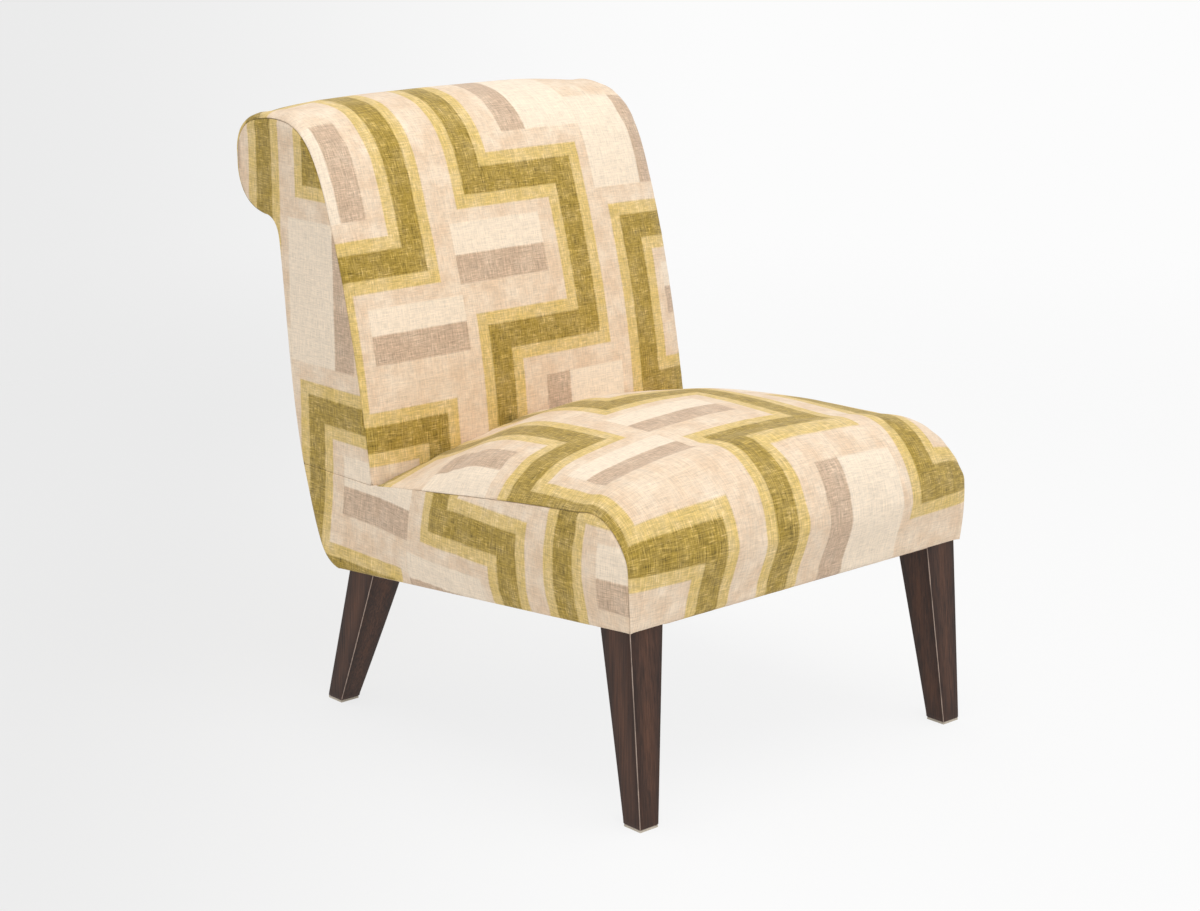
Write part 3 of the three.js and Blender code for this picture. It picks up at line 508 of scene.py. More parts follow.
def makeBarGroup():  # 1 inside a bar of the print, 0 outside, with a soft edge
    group = bpy.data.node_groups.new("printedBar", "ShaderNodeTree")
    for name in ("X", "Y", "Left", "Right", "Bottom", "Top"):
        group.interface.new_socket(name, in_out="INPUT", socket_type="NodeSocketFloat")
    group.interface.new_socket("Mask", in_out="OUTPUT", socket_type="NodeSocketFloat")
    given = addNode(group, "NodeGroupInput").outputs
    masks = []
    for place, low, high in (("X", "Left", "Right"), ("Y", "Bottom", "Top")):
        for left, right in ((given[place], given[low]), (given[high], given[place])):
            gap = addNode(group, "ShaderNodeMath", (left, right), operation="SUBTRACT")
            masks.append(addNode(group, "ShaderNodeMath", (gap, linen["edgeSlope"], 0.5),
                                 operation="MULTIPLY_ADD", use_clamp=True))
    while len(masks) > 1:
        first, second = masks.pop(0), masks.pop(0)
        masks.append(addNode(group, "ShaderNodeMath", (first, second), operation="MINIMUM"))
    addNode(group, "NodeGroupOutput", {"Mask": masks[0]})
    return group


linen = {
    "blush": "#e3c8aa", "ivory": "#f3e2cb", "olive": "#a08636", "gold": "#d9bc70", "taupe": "#c6ab91",
    "unit": 37 * mm,  # one band's width
    "repeat": 15, "start": 3,  # the print repeats after this many units, and starts at this one
    "border": 0.5,  # gold band beside each olive one, in units
    "edgeSlope": 14,  # an edge of the print fades over 1/14 of a unit
    # width, length and detail of the threads and of the thick slubs: real threads are 0.8 mm wide,
    # too fine to show, so they are drawn coarser
    "threads": [(1.4 * mm, 15 * mm, 3), (3.2 * mm, 70 * mm, 2)],
    "ragged": 1.6 * mm,  # how far the threads carry the ink past its edge
    "groundTone": 0.62, "inkTone": 0.5, "oliveTone": 0.9,  # how far the weave shades each, added up
    "fineShare": 0.95, "thickShare": 0.36,  # how much of that each kind of thread does
    "seamShade": 0.9, "seamReach": 1.2 * mm,  # how dark the cloth gets in a seam, and how near it
    "patchScale": 26,  # worn and pale patches about 40 mm across
    # a noise's range and what its two ends give: ink left in worn patches and on slubs, pale ground
    "worn": (0.35, 0.7, 1, 0.72), "slub": (0.58, 0.78, 1, 0.5), "pale": (0.38, 0.68, 0, 0.75),
    "bump": (0.5 * mm, 0.55),  # depth and strength
    # A running meander and short bars, each from left to right and bottom to top, in units
    "olives": [(1, 2, -1, 6), (1, 6.6, 5, 6), (5.6, 6.6, 5, 12), (1, 6.6, 11, 12), (1, 2, 11, 16),
               (12.6, 13.6, -1, 3), (8.6, 13.6, 2, 3), (8.6, 9.6, 2, 9.4), (8.6, 13.6, 8.4, 9.4),
               (12.6, 13.6, 8.4, 16)],
    "taupes": [(3.6, 4.8, -1, 3.7), (3.6, 4.8, 13.2, 16), (-1, 4.4, 7.7, 8.8), (10.6, 16, 5.2, 6.3),
               (10.2, 11.3, 10.6, 14.4)],
    "ivories": [(4.8, 7.6, -1, 3.7), (4.8, 7.6, 13.2, 16), (-1, 4.4, 8.8, 10), (10.6, 16, 6.3, 7.3),
                (7.6, 10.2, 10.6, 14.4)],
}


# Slub linen, plain woven and printed: matt, with uneven threads that the ink takes unevenly
def makeLinen():
    material, tree, shader = newMaterial("printedSlubLinen", {
        "Roughness": 0.92, "Sheen Weight": 0.18, "Sheen Roughness": 0.5, "Specular IOR Level": 0.25})
    cloth = addNode(tree, "ShaderNodeUVMap", uv_map="clothUV")  # in metres
    threads = []
    for width, length, detail in linen["threads"]:
        for scale in ((1 / width, 1 / length, 1), (1 / length, 1 / width, 1)):
            stretched = addNode(tree, "ShaderNodeMapping", {"Vector": cloth, "Scale": scale})
            threads.append(addNode(tree, "ShaderNodeTexNoise", {
                "Vector": stretched, "Scale": 1, "Detail": detail, "Roughness": 0.62}))
    warp, weft, thickWarp, thickWeft = threads

    # where each point lies in the print, in units, nudged by the threads so that edges are ragged
    where = addNode(tree, "ShaderNodeSeparateXYZ", (cloth,)).outputs
    ragged = linen["ragged"] / linen["unit"]
    tile = []
    for coordinate, thread, start in ((where[0], weft, linen["start"]), (where[1], warp, 0)):
        nudge = addNode(tree, "ShaderNodeMath", (thread, ragged, start), operation="MULTIPLY_ADD")
        units = addNode(tree, "ShaderNodeMath", (coordinate, 1 / linen["unit"], nudge),
                        operation="MULTIPLY_ADD")
        tile.append(addNode(tree, "ShaderNodeMath", (units, linen["repeat"]),
                            operation="FLOORED_MODULO"))
    barGroup = makeBarGroup()

    def printed(bars, grow=0):
        mask = None
        for left, right, bottom, top in bars:
            bar = addNode(tree, "ShaderNodeGroup", {
                "X": tile[0], "Y": tile[1], "Left": left - grow, "Right": right + grow,
                "Bottom": bottom - grow, "Top": top + grow}, node_tree=barGroup)
            mask = addNode(tree, "ShaderNodeMath", (mask, bar), operation="MAXIMUM") if mask else bar
        return mask

    # the ground's pale patches, and how much ink each place takes: less in worn patches and on slubs
    patches = addNode(tree, "ShaderNodeTexNoise", {
        "Vector": cloth, "Scale": linen["patchScale"], "Detail": 4, "Roughness": 0.65})
    both = addNode(tree, "ShaderNodeMath", (warp, weft), operation="ADD")
    thick = addNode(tree, "ShaderNodeMath", (thickWarp, thickWeft), operation="ADD")
    stronger = addNode(tree, "ShaderNodeMath", (warp, weft), operation="MAXIMUM")
    worn = addNode(tree, "ShaderNodeMapRange", (patches, *linen["worn"]))
    slub = addNode(tree, "ShaderNodeMapRange", (stronger, *linen["slub"]))
    ink = addNode(tree, "ShaderNodeMath", (worn, slub), operation="MULTIPLY")
    pale = addNode(tree, "ShaderNodeMapRange", (patches, *linen["pale"]))
    colour = addNode(tree, "ShaderNodeMix", {
        0: pale, 6: toLinear(linen["blush"]), 7: toLinear(linen["ivory"])}, data_type="RGBA").outputs[2]
    masks = {"ivory": printed(linen["ivories"]), "taupe": printed(linen["taupes"]),
             "gold": printed(linen["olives"], linen["border"]), "olive": printed(linen["olives"])}
    for name, mask in masks.items():
        taken = addNode(tree, "ShaderNodeMath", (mask, ink), operation="MULTIPLY")
        colour = addNode(tree, "ShaderNodeMix", {0: taken, 6: colour, 7: toLinear(linen[name])},
                         data_type="RGBA").outputs[2]

    # the weave's lights and darks, stronger where there is ink, and the shade down in each seam
    inked = addNode(tree, "ShaderNodeMath", (masks["taupe"], masks["gold"]), operation="MAXIMUM")
    strength = linen["groundTone"]
    for mask, more in ((inked, linen["inkTone"]), (masks["olive"], linen["oliveTone"])):
        strength = addNode(tree, "ShaderNodeMath", (mask, more, strength), operation="MULTIPLY_ADD")
    weave = -linen["thickShare"] - linen["fineShare"]
    for part, share in ((thick, linen["thickShare"]), (both, linen["fineShare"])):
        weave = addNode(tree, "ShaderNodeMath", (part, share, weave), operation="MULTIPLY_ADD")
    tone = addNode(tree, "ShaderNodeMath", (weave, strength, 1.0), operation="MULTIPLY_ADD")
    seam = addNode(tree, "ShaderNodeAttribute", attribute_name="seamGap").outputs["Fac"]
    groove = addNode(tree, "ShaderNodeMapRange", (seam, 0, linen["seamReach"], linen["seamShade"], 1))
    value = addNode(tree, "ShaderNodeMath", (tone, groove), operation="MULTIPLY")
    toned = addNode(tree, "ShaderNodeHueSaturation", {"Value": value, "Color": colour})
    joinSurface(tree, shader, toned.outputs[0], both, *linen["bump"])
    return material


stain = {
    # the last colour is pale bare wood, for wear and for the painted highlight along the arrises
    "dark": "#2b1b13", "light": "#604030", "red": "#70472f", "bare": "#b8a294",
    "arris": "#a9a8ae", "face": "#ffffff",  # what the colour is multiplied by: painted shade near an arris, full in mid face as a painted sheen
    "grain": (420, 420, 14),  # rays 2.4 mm wide and 70 mm long
    "patches": (70, 70, 9),  # 14 mm wide and 110 mm long
    "stops": (0.3, 0.72),  # where in the grain's noise it is dark and light
    "redder": (0.45, 0.75, 0, 0.35),  # the patches' range, and how red its ends are
    "rubbedAndHighlight": (0.14, 0.45, 0, 0.9),  # the range of the wear and the painted arris highlight, and how pale its ends are
    "bump": (0.15 * mm, 0.4),  # depth and strength
}


# Beech stained espresso and lacquered satin: dark brown, with the grain showing as redder streaks,
# and pale bare wood along the arrises and round the foot, standing for wear and for a painted
# highlight on those eased edges; each face is painted lighter down its middle and darker near
# its arrises, a painted sheen and painted shade
def makeStainedWood():
    material, tree, shader = newMaterial("espressoStainedBeech", {
        "Roughness": 0.52, "Specular IOR Level": 0.28, "Coat Weight": 0.04, "Coat Roughness": 0.35})
    place = addNode(tree, "ShaderNodeTexCoord").outputs["Object"]
    grain = addNode(tree, "ShaderNodeMapping", {"Vector": place, "Scale": stain["grain"]})
    streaks = addNode(tree, "ShaderNodeTexNoise", {
        "Vector": grain, "Scale": 1, "Detail": 5, "Roughness": 0.6, "Distortion": 0.4})
    broad = addNode(tree, "ShaderNodeMapping", {"Vector": place, "Scale": stain["patches"]})
    patches = addNode(tree, "ShaderNodeTexNoise", {"Vector": broad, "Scale": 1, "Detail": 3})
    ramp = addNode(tree, "ShaderNodeValToRGB", (streaks,))
    for stop, at, name in zip(ramp.color_ramp.elements, stain["stops"], ("dark", "light")):
        stop.position, stop.color = at, toLinear(stain[name])
    share = addNode(tree, "ShaderNodeMapRange", (patches, *stain["redder"]))
    reddish = addNode(tree, "ShaderNodeMix", {0: share, 6: ramp, 7: toLinear(stain["red"])},
                      data_type="RGBA")
    # painted sheen and painted shade: each face lighter down its middle, darker towards its arrises, evenly
    # darker round the foot
    middle = addNode(tree, "ShaderNodeAttribute", attribute_name="faceMiddle").outputs["Fac"]
    depth = addNode(tree, "ShaderNodeMix", {
        0: middle, 6: toLinear(stain["arris"]), 7: toLinear(stain["face"])}, data_type="RGBA")
    stained = addNode(tree, "ShaderNodeMix", {0: 1.0, 6: reddish.outputs[2], 7: depth.outputs[2]},
                      data_type="RGBA", blend_type="MULTIPLY")
    # pale along the arrises and round the foot: wear, and a painted highlight on the eased edges, broken by
    # the grain
    worn = addNode(tree, "ShaderNodeAttribute", attribute_name="worn").outputs["Fac"]
    broken = addNode(tree, "ShaderNodeMath", (worn, streaks), operation="MULTIPLY")
    rubbedAndHighlight = addNode(tree, "ShaderNodeMapRange", (broken, *stain["rubbedAndHighlight"]))
    mixed = addNode(tree, "ShaderNodeMix", {0: rubbedAndHighlight, 6: stained.outputs[2], 7: toLinear(stain["bare"])},
                    data_type="RGBA")
    joinSurface(tree, shader, mixed.outputs[2], streaks, *stain["bump"])
    return material


# Hidden and underside finishes: two tones mixed by a stretched noise of a real size
def makePlain(name, dark, light, size, roughness, metallic=0.0, bumpDepth=0.2 * mm):
    material, tree, shader = newMaterial(name, {"Roughness": roughness, "Metallic": metallic})
    place = addNode(tree, "ShaderNodeTexCoord").outputs["Object"]
    scaled = addNode(tree, "ShaderNodeMapping", {
        "Vector": place, "Scale": tuple(1 / part for part in size)})
    grain = addNode(tree, "ShaderNodeTexNoise", {"Vector": scaled, "Scale": 1, "Detail": 4})
    mixed = addNode(tree, "ShaderNodeMix", {0: grain, 6: toLinear(dark), 7: toLinear(light)},
                    data_type="RGBA")
    joinSurface(tree, shader, mixed.outputs[2], grain, bumpDepth, 0.5)
    return material


finishes = {
    "printed_linen": makeLinen(),
    "stained_wood": makeStainedWood(),
    # yellow, with long grain left rough by the saw
    "frame_timber": makePlain("sawnPine", "#b08d5c", "#dbbd8c", (90 * mm, 4 * mm, 4 * mm), 0.75),
    # pale, with thin layers showing at its cut edges
    "plywood": makePlain("birchPlywood", "#bb9a6a", "#e2c798", (20 * mm, 60 * mm, 3 * mm), 0.75),
    # cream, dull and finely pitted by its open cells
    "foam": makePlain("openCellFoam", "#e3d6ae", "#f4ebcf", (2 * mm, 2 * mm, 2 * mm), 0.95),
    # nearly white and without gloss, combed one way
    "wadding": makePlain("fibreWadding", "#e6e4dd", "#f8f7f3", (6 * mm, 2 * mm, 2 * mm), 0.98),
    # grey and glossy, with faint lines from the drawing die
    "steel": makePlain("drawnSteelWire", "#777a7e", "#a4a7ab", (1 * mm, 1 * mm, 12 * mm), 0.35,
                       metallic=1.0, bumpDepth=0.05 * mm),
    # brown and coarse, with thick woven yarns
    "hessian": makePlain("juteHessian", "#8b7148", "#bd9f6d", (1.6 * mm, 9 * mm, 2 * mm), 0.95),
    # nearly black, with ribs of covered rubber
    "elastic_webbing": makePlain("wovenElastic", "#202024", "#3a3a40", (2 * mm, 2 * mm, 8 * mm), 0.9),
    # black and matt, with fibres pressed flat in all directions
    "black_lining": makePlain("spunbondLining", "#121214", "#26262a", (1.5 * mm, 1.5 * mm, 1.5 * mm), 0.95),
    # beige, with the low gloss of its mould
    "glide_nylon": makePlain("mouldedNylon", "#b8ad9c", "#d2c8b8", (3 * mm, 3 * mm, 3 * mm), 0.55),
}
slots = {part["node"]: part["material_slot"] for part in frame["record"]["subparts"]}
for name, node in nodes.items():
    node.data.materials.clear()
    node.data.materials.append(finishes[slots[name]])
print("materials made for", len(nodes), "nodes")


def finishPiece(piece, slotName, replaced=()):
    piece.data.materials.append(finishes[slotName])
    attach(piece, "root")
    if replaced:
        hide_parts(*replaced)


# The seat and back pads

pads = {  # depth of the pad's inner face, how far its stuffing swells, seed of its waves, how full it is
    "seatPad": (14 * mm, 3 * mm, 1, 0.85),
    "insideBackPad": (14 * mm, 3 * mm, 2, 0.8),
    "outsideBackPad": (8 * mm, 1.5 * mm, 3, 0.9),
    "SeatSide": (5.5 * mm, 1.5 * mm, 5, 0.7),
    "BackSide": (5.5 * mm, 1.5 * mm, 9, 0.7),
}
tuckedIn = 7 * mm  # how much narrower the inside back is where it is hidden below the crease


def makePad(name, replaced, line, half, crown, start, end, cutAt=None):
    thickness, swell, seed, fill = pads[name]
    panel = acrossPanel(line, half, crown, thickness, start, end, cutAt)
    finishPiece(stuff(gridMesh(name, panel), swell, seed), "printed_linen", replaced)


def backFaceAt(x, z):  # y of the inside back's face, crown included
    t = np.clip(np.abs(x) / backHalf, 0, 1)
    share = frontLine["length"] / insideLine["length"][-1]
    rise = backCrown(share, t)
    y = frontLine["place"][:, 0] + frontLine["out"][:, 0] * rise
    height = frontLine["place"][:, 1] + frontLine["out"][:, 1] * rise
    return np.interp(z, height, y)


def cutAtBack(column):  # the seat runs back until it meets the inside back
    spare = np.array([backFaceAt(x, z) - y for x, y, z in column[:, :3]]) - sewing["creaseGap"]
    meeting = np.flatnonzero(spare[len(spare) // 2:] < 0)
    if not len(meeting):
        return column
    i = meeting[0] + len(spare) // 2
    share = spare[i - 1] / (spare[i - 1] - spare[i])
    return np.vstack([column[:i], column[i - 1] + (column[i] - column[i - 1]) * share])


def insideWidth(y, z):
    return np.where(z < crease[1], backHalf - tuckedIn, backHalf)


radius = sewing["radius"]
makePad("seatPad", ["seat_cover", "seat_foam", "front_padding"], seatLine, sideSeam, seatCrown,
        sewing["wrap"], sewing["creaseRadius"], cutAtBack)
makePad("insideBackPad", ["inside_back_cover", "back_foam", "scroll_foam"], insideLine, insideWidth,
        backCrown, radius, radius)
outsideLine = chain(neckLine["place"], rearLine["place"])
makePad("outsideBackPad", ["outside_back_cover", "outside_back_padding"], outsideLine, sideSeam,
        lambda share, t: share * t * 0, radius, radius)


# The side panels

topSeam, frontSeam = chain(seatBend("shoulder"), seatBend("top"))["place"], seatBend("frontFace")


def seatSideReach(y, z):  # half the seat's width with the side panels' swell
    bottom = seat["frontHeight"] - y * math.tan(slope)
    up = np.clip((z - bottom) / (np.interp(y, *topSeam.T) - bottom), 0, 1)
    full = 1 - np.abs(1 - 2 * up) ** seat["bulgePower"]
    fade = 1 - smoothStep(y / seat["bottomLength"], seat["fadeStart"], 1)
    near = smoothStep(y - np.interp(z, frontSeam[:, 1], frontSeam[:, 0]), 0, seat["corner"])
    rearward = smoothStep(y, seat["corner"], seat["taper"])
    swell = seat["bulge"] - seat["seamSwell"] * (1 - rearward)
    return sideSeam(y, z) + swell * full * fade * near


shared, flatwise = math.pi / 4, math.pi / 2  # how far the cloth turns at a seam
corner, bottomStart = bottomPoint(0), bottomPoint(sewing["pitch"])
bottomEdge = np.array([bottomStart, bottomPoint(seat["bottomLength"])])
lowerRear = chain(backBend("rearFoot"), cornerBend)["place"][::-1]
creaseEdge = np.array([backBend("rearFoot")[0], crease])
scrollEdge = chain(*[backBend(name) for name in scrollNames])["place"]
sideBorders = {  # each stretch of the outline, how far the cloth turns at its two ends, and how tightly
    "SeatSide": [
        (np.array([corner, bottomStart]), (shared, flatwise), radius),
        (bottomEdge, (flatwise, flatwise), sewing["wrap"]),
        (lowerRear, (shared, shared), radius),
        (creaseEdge, (flatwise, flatwise), radius),
        (topSeam[::-1], (flatwise, flatwise), radius),
        (frontSeam[::-1], (flatwise, shared), radius),
    ],
    "BackSide": [
        (creaseEdge[::-1], (flatwise, flatwise), radius),
        (backBend("rear")[::-1], (shared, shared), radius),
        (backBend("neck")[::-1], (shared, shared), radius),
        (scrollEdge[::-1], (shared, flatwise), radius),
        (backBend("front")[::-1], (flatwise, flatwise), radius),
    ],
}
for side, sign in (("right", -1), ("left", 1)):
    for part, reach in (("SeatSide", seatSideReach), ("BackSide", lambda y, z: y * 0 + backHalf)):
        thickness, swell, seed, fill = pads[part]
        panel = sidePanel(side + part, sign, sideBorders[part], reach, thickness)
        node = f"{side}_{part[:4].lower()}_side"
        finishPiece(stuff(panel, swell, seed + sign), "printed_linen",
                    [f"{node}_cover", f"{node}_padding"])


# Legs and glides

leg = {  # how far in from the seat's side, how far behind the start and how thick, at the top and foot
    "front": {"start": 0, "top": (5.3 * mm, 6 * mm, 56.2 * mm), "foot": (5.1 * mm, -14.4 * mm, 32.2 * mm)},
    "rear": {"start": seat["depth"], "top": (5.3 * mm, -6.9 * mm, 55.6 * mm),
             "foot": (5.1 * mm, 76.6 * mm, 32.2 * mm)},
    "arris": 1.7 * mm,  # radius of the eased corners
    "arrisSteps": 4,
    "acrossFace": (0.22, 0.5, 0.78),  # where the points between two corners lie
    "rows": [0, 0.012, 0.03, 0.06] + [0.1 + 0.09 * i for i in range(11)],
    "bottom": 3.3 * mm,  # the foot's height over the floor, with the glide under it
    "topGap": 0.3 * mm,  # left below the seat
    "rim": {"height": 1.2 * mm, "inset": 0.7 * mm, "ease": 0.9 * mm},  # the eased edge of the foot, painted pale for wear and as a painted highlight
    "footShade": 0.3,  # how pale the painted sheen leaves the faces at the foot, from 0 at an arris to 1 in mid face
}


def legOutline(half, ease):  # points round one leg: across, deep, nearness to an arris and to mid face
    arrises, steps = [], leg["arrisSteps"]
    for quarter in range(4):
        corner = math.pi / 4 + quarter * math.pi / 2
        for step in range(steps + 1):
            turn = step / steps - 0.5
            angle = corner + turn * math.pi / 2
            across = math.copysign(half - ease, math.cos(corner)) + ease * math.cos(angle)
            deep = math.copysign(half - ease, math.sin(corner)) + ease * math.sin(angle)
            arrises.append((across, deep, 1 - abs(turn) * 2, 0))
    points = []
    for i, point in enumerate(arrises):
        points.append(point)
        if (i + 1) % (steps + 1) == 0:
            after = arrises[(i + 1) % len(arrises)]
            for part in leg["acrossFace"]:
                across, deep = (a + (b - a) * part for a, b in zip(point[:2], after[:2]))
                points.append((across, deep, 0, math.sin(part * math.pi) ** 1.5))
    return points


def meshFrom(bm, name):
    mesh = bpy.data.meshes.new(name)
    bm.to_mesh(mesh)
    bm.free()
    mesh.shade_smooth()
    return mesh


def makeLeg(name, sign, sizes):
    bm = bmesh.new()
    wornAndHighlightLayer = bm.verts.layers.float.new("worn")
    sheenLayer = bm.verts.layers.float.new("faceMiddle")
    loops, rim = [], leg["rim"]
    for share in leg["rows"]:
        inset, offset, width = (f + (t - f) * share for f, t in zip(sizes["foot"], sizes["top"]))
        ease = leg["arris"] + (rim["ease"] if share == 0 else 0)
        half = width / 2 - (rim["inset"] if share == 0 else 0)
        centre = (sign * (seatHalf - inset - width / 2), sizes["start"] + offset + width / 2)
        loop = []
        for across, deep, nearArris, middle in legOutline(half, ease):
            x, y = centre[0] + across, centre[1] + deep
            top = seat["frontHeight"] - leg["topGap"] - y * math.tan(slope)
            rise = rim["height"] if share == leg["rows"][1] else (top - leg["bottom"]) * share
            vert = bm.verts.new((x, y + toRow, leg["bottom"] + rise))
            # painted pale along each arris and round the foot: wear, and a painted highlight on the eased
            # edges
            vert[wornAndHighlightLayer] = max(nearArris, 0.8 if share == 0 else 0.0)
            # painted sheen: lighter in mid face, darker near each arris, evenly darker round the foot
            shade = leg["footShade"]
            vert[sheenLayer] = shade + (middle - shade) * float(smoothStep(share, 0, 0.2))
            loop.append(vert)
        loops.append(loop)
    for lower, upper in zip(loops, loops[1:]):
        for i in range(len(lower)):
            j = (i + 1) % len(lower)
            bm.faces.new((lower[i], lower[j], upper[j], upper[i]))
    bm.faces.new(loops[0][::-1])
    bm.faces.new(loops[-1])
    bmesh.ops.recalc_face_normals(bm, faces=bm.faces)
    mesh = meshFrom(bm, name)
    mesh.set_sharp_from_angle(angle=math.radians(50))
    return addObject(name, mesh)


for end in ("front", "rear"):
    for side, sign in (("right", -1), ("left", 1)):
        piece = makeLeg(f"{end}{side.title()}Leg", sign, leg[end])
        finishPiece(piece, "stained_wood", [f"{end}_{side}_leg"])
print("legs made")


# Underneath: the cover's edges turned under the rails, and a dust sheet stapled over them

under = {
    "fabric": 0.5 * mm, "lining": 0.5 * mm,
    "coverDrop": 0.45 * mm, "sheetDrop": 1.1 * mm,  # how far each lies below the rails
    "coverEdge": 4.6 * mm, "coverTurn": 42 * mm,  # the turned cover's outer and inner edges
    "ripple": 0.2 * mm, "rippleScale": 60,  # unevenness of the turned cover, about 17 mm across
    "legGap": 1.2 * mm,  # left round each leg
    "hem": 13 * mm, "hemRise": 0.5 * mm,  # the sheet's folded edge: its width and its extra thickness
    "sag": 5 * mm, "sagFrom": (20 * mm, 150 * mm),  # it sags more and more between these
    "pucker": 0.5 * mm, "puckerReach": 34 * mm,  # how far the staples draw it up, and how far in
    "pitch": 11 * mm,  # spacing of the cloth's points
}
staples = {"pitch": 44 * mm, "width": 11 * mm, "wire": 0.55 * mm, "leg": 1.6 * mm, "inset": 7 * mm}
legSpan = leg["front"]["top"][0] + leg["front"]["top"][2]  # from the seat's side to a leg's inner face


def underSeat(x, along, drop):  # a point under the sloping seat
    y, z = bottomPoint(along)
    return (x, y - drop * math.sin(slope) + toRow, z - drop * math.cos(slope))


def clothGrid(name, xs, alongs, dropAt, kept, thickness):
    bm = bmesh.new()
    uvLayer = bm.loops.layers.uv.new("clothUV")
    made = {}

    def corner(i, j):
        if (i, j) not in made:
            made[i, j] = bm.verts.new(underSeat(xs[i], alongs[j], dropAt(xs[i], alongs[j])))
        return made[i, j]

    for i in range(len(xs) - 1):
        for j in range(len(alongs) - 1):
            if kept((xs[i] + xs[i + 1]) / 2, (alongs[j] + alongs[j + 1]) / 2):
                around = ((i, j), (i, j + 1), (i + 1, j + 1), (i + 1, j))
                face = bm.faces.new([corner(p, q) for p, q in around])
                for loop, (p, q) in zip(face.loops, around):
                    loop[uvLayer].uv = (xs[p], alongs[q])
    area = sum(face.calc_area() for face in bm.faces)
    mesh = meshFrom(bm, name)
    mesh.attributes.new("seamGap", "FLOAT", "POINT").data.foreach_set("value", [1.0] * len(mesh.vertices))
    piece = addObject(name, mesh)
    solid = piece.modifiers.new("Solidify", "SOLIDIFY")
    solid.thickness, solid.offset = thickness, 0
    return piece, area


def stepped(*stops):  # evenly spaced between each two stops
    runs = [np.linspace(low, high, max(round((high - low) / under["pitch"]), 1) + 1)[:-1]
            for low, high in zip(stops, stops[1:])]
    return np.concatenate(runs + [[stops[-1]]])


legTop = {end: leg[end]["start"] + leg[end]["top"][1] for end in ("front", "rear")}
edge, turn, gap = under["coverEdge"], under["coverTurn"], under["legGap"]
innerLeg = seatHalf - legSpan - gap
sideStart = legTop["front"] + leg["front"]["top"][2] + gap
sideEnd = legTop["rear"] - gap
rearEnd = seat["bottomLength"] + mm
rearStart = rearEnd - turn
legBack = legTop["rear"] + leg["rear"]["top"][2] + gap
outside = seatHalf - edge
turnedEdges = {
    "front": ((-innerLeg, innerLeg), (edge, turn)),
    "rear": ((-outside, -innerLeg, innerLeg, outside), (rearStart, legBack, rearEnd)),
    "right": ((-outside, -seatHalf + turn), (sideStart, sideEnd)),
    "left": ((seatHalf - turn, outside), (sideStart, sideEnd)),
}


def clearOfLegs(x, along):
    return abs(x) < innerLeg or sideStart < along < sideEnd or along > legBack


def turnedDrop(x, along):
    scale = under["rippleScale"]
    return under["coverDrop"] + under["ripple"] * noise.noise((x * scale, along * scale, 1))


for end, (xStops, alongStops) in turnedEdges.items():
    piece, area = clothGrid(f"{end}TurnedCover", stepped(*xStops), stepped(*alongStops), turnedDrop,
                            clearOfLegs, under["fabric"])
    finishPiece(piece, "printed_linen")

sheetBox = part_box("dust_cover")
sheetHalf = sheetBox[1].x
sheetStart, sheetEnd = ((corner.y - toRow) / math.cos(slope) for corner in sheetBox)


def sheetDrop(x, along):  # slack between the rails, thicker at its hem and drawn up at each staple
    fromEdge = min(sheetHalf - abs(x), along - sheetStart, sheetEnd - along)
    share = smoothStep(fromEdge, *under["sagFrom"])
    pucker = math.cos((x if abs(x) < innerLeg else along) / staples["pitch"] * 2 * math.pi)
    near = 1 - smoothStep(fromEdge, 0, under["puckerReach"])
    hem = under["hemRise"] * (fromEdge < under["hem"])
    return under["sheetDrop"] + under["sag"] * share + hem + under["pucker"] * near * pucker


dustSheet, sheetArea = clothGrid(
    "dustSheet", stepped(-sheetHalf, -innerLeg, innerLeg, sheetHalf),
    stepped(sheetStart, sideStart, sideEnd, sheetEnd), sheetDrop,
    lambda x, along: abs(x) < innerLeg or sideStart < along < sideEnd, under["lining"])
inset = staples["inset"]
rightHalf = [(innerLeg - inset, sheetStart + inset), (innerLeg - inset, sideStart + inset),
             (sheetHalf - inset, sideStart + inset), (sheetHalf - inset, sideEnd - inset),
             (innerLeg - inset, sideEnd - inset), (innerLeg - inset, sheetEnd - inset)]
path = rightHalf + [(-x, along) for x, along in reversed(rightHalf)]
pathMesh = bpy.data.meshes.new("dustSheetStaples")
stapleDrop = under["sheetDrop"] + under["lining"] + under["hemRise"] + staples["wire"]
pathMesh.from_pydata([underSeat(x, along, stapleDrop) for x, along in path],
                     [(i, (i + 1) % len(path)) for i in range(len(path))], [])
stapleRow = addObject("dustSheetStaples", pathMesh)


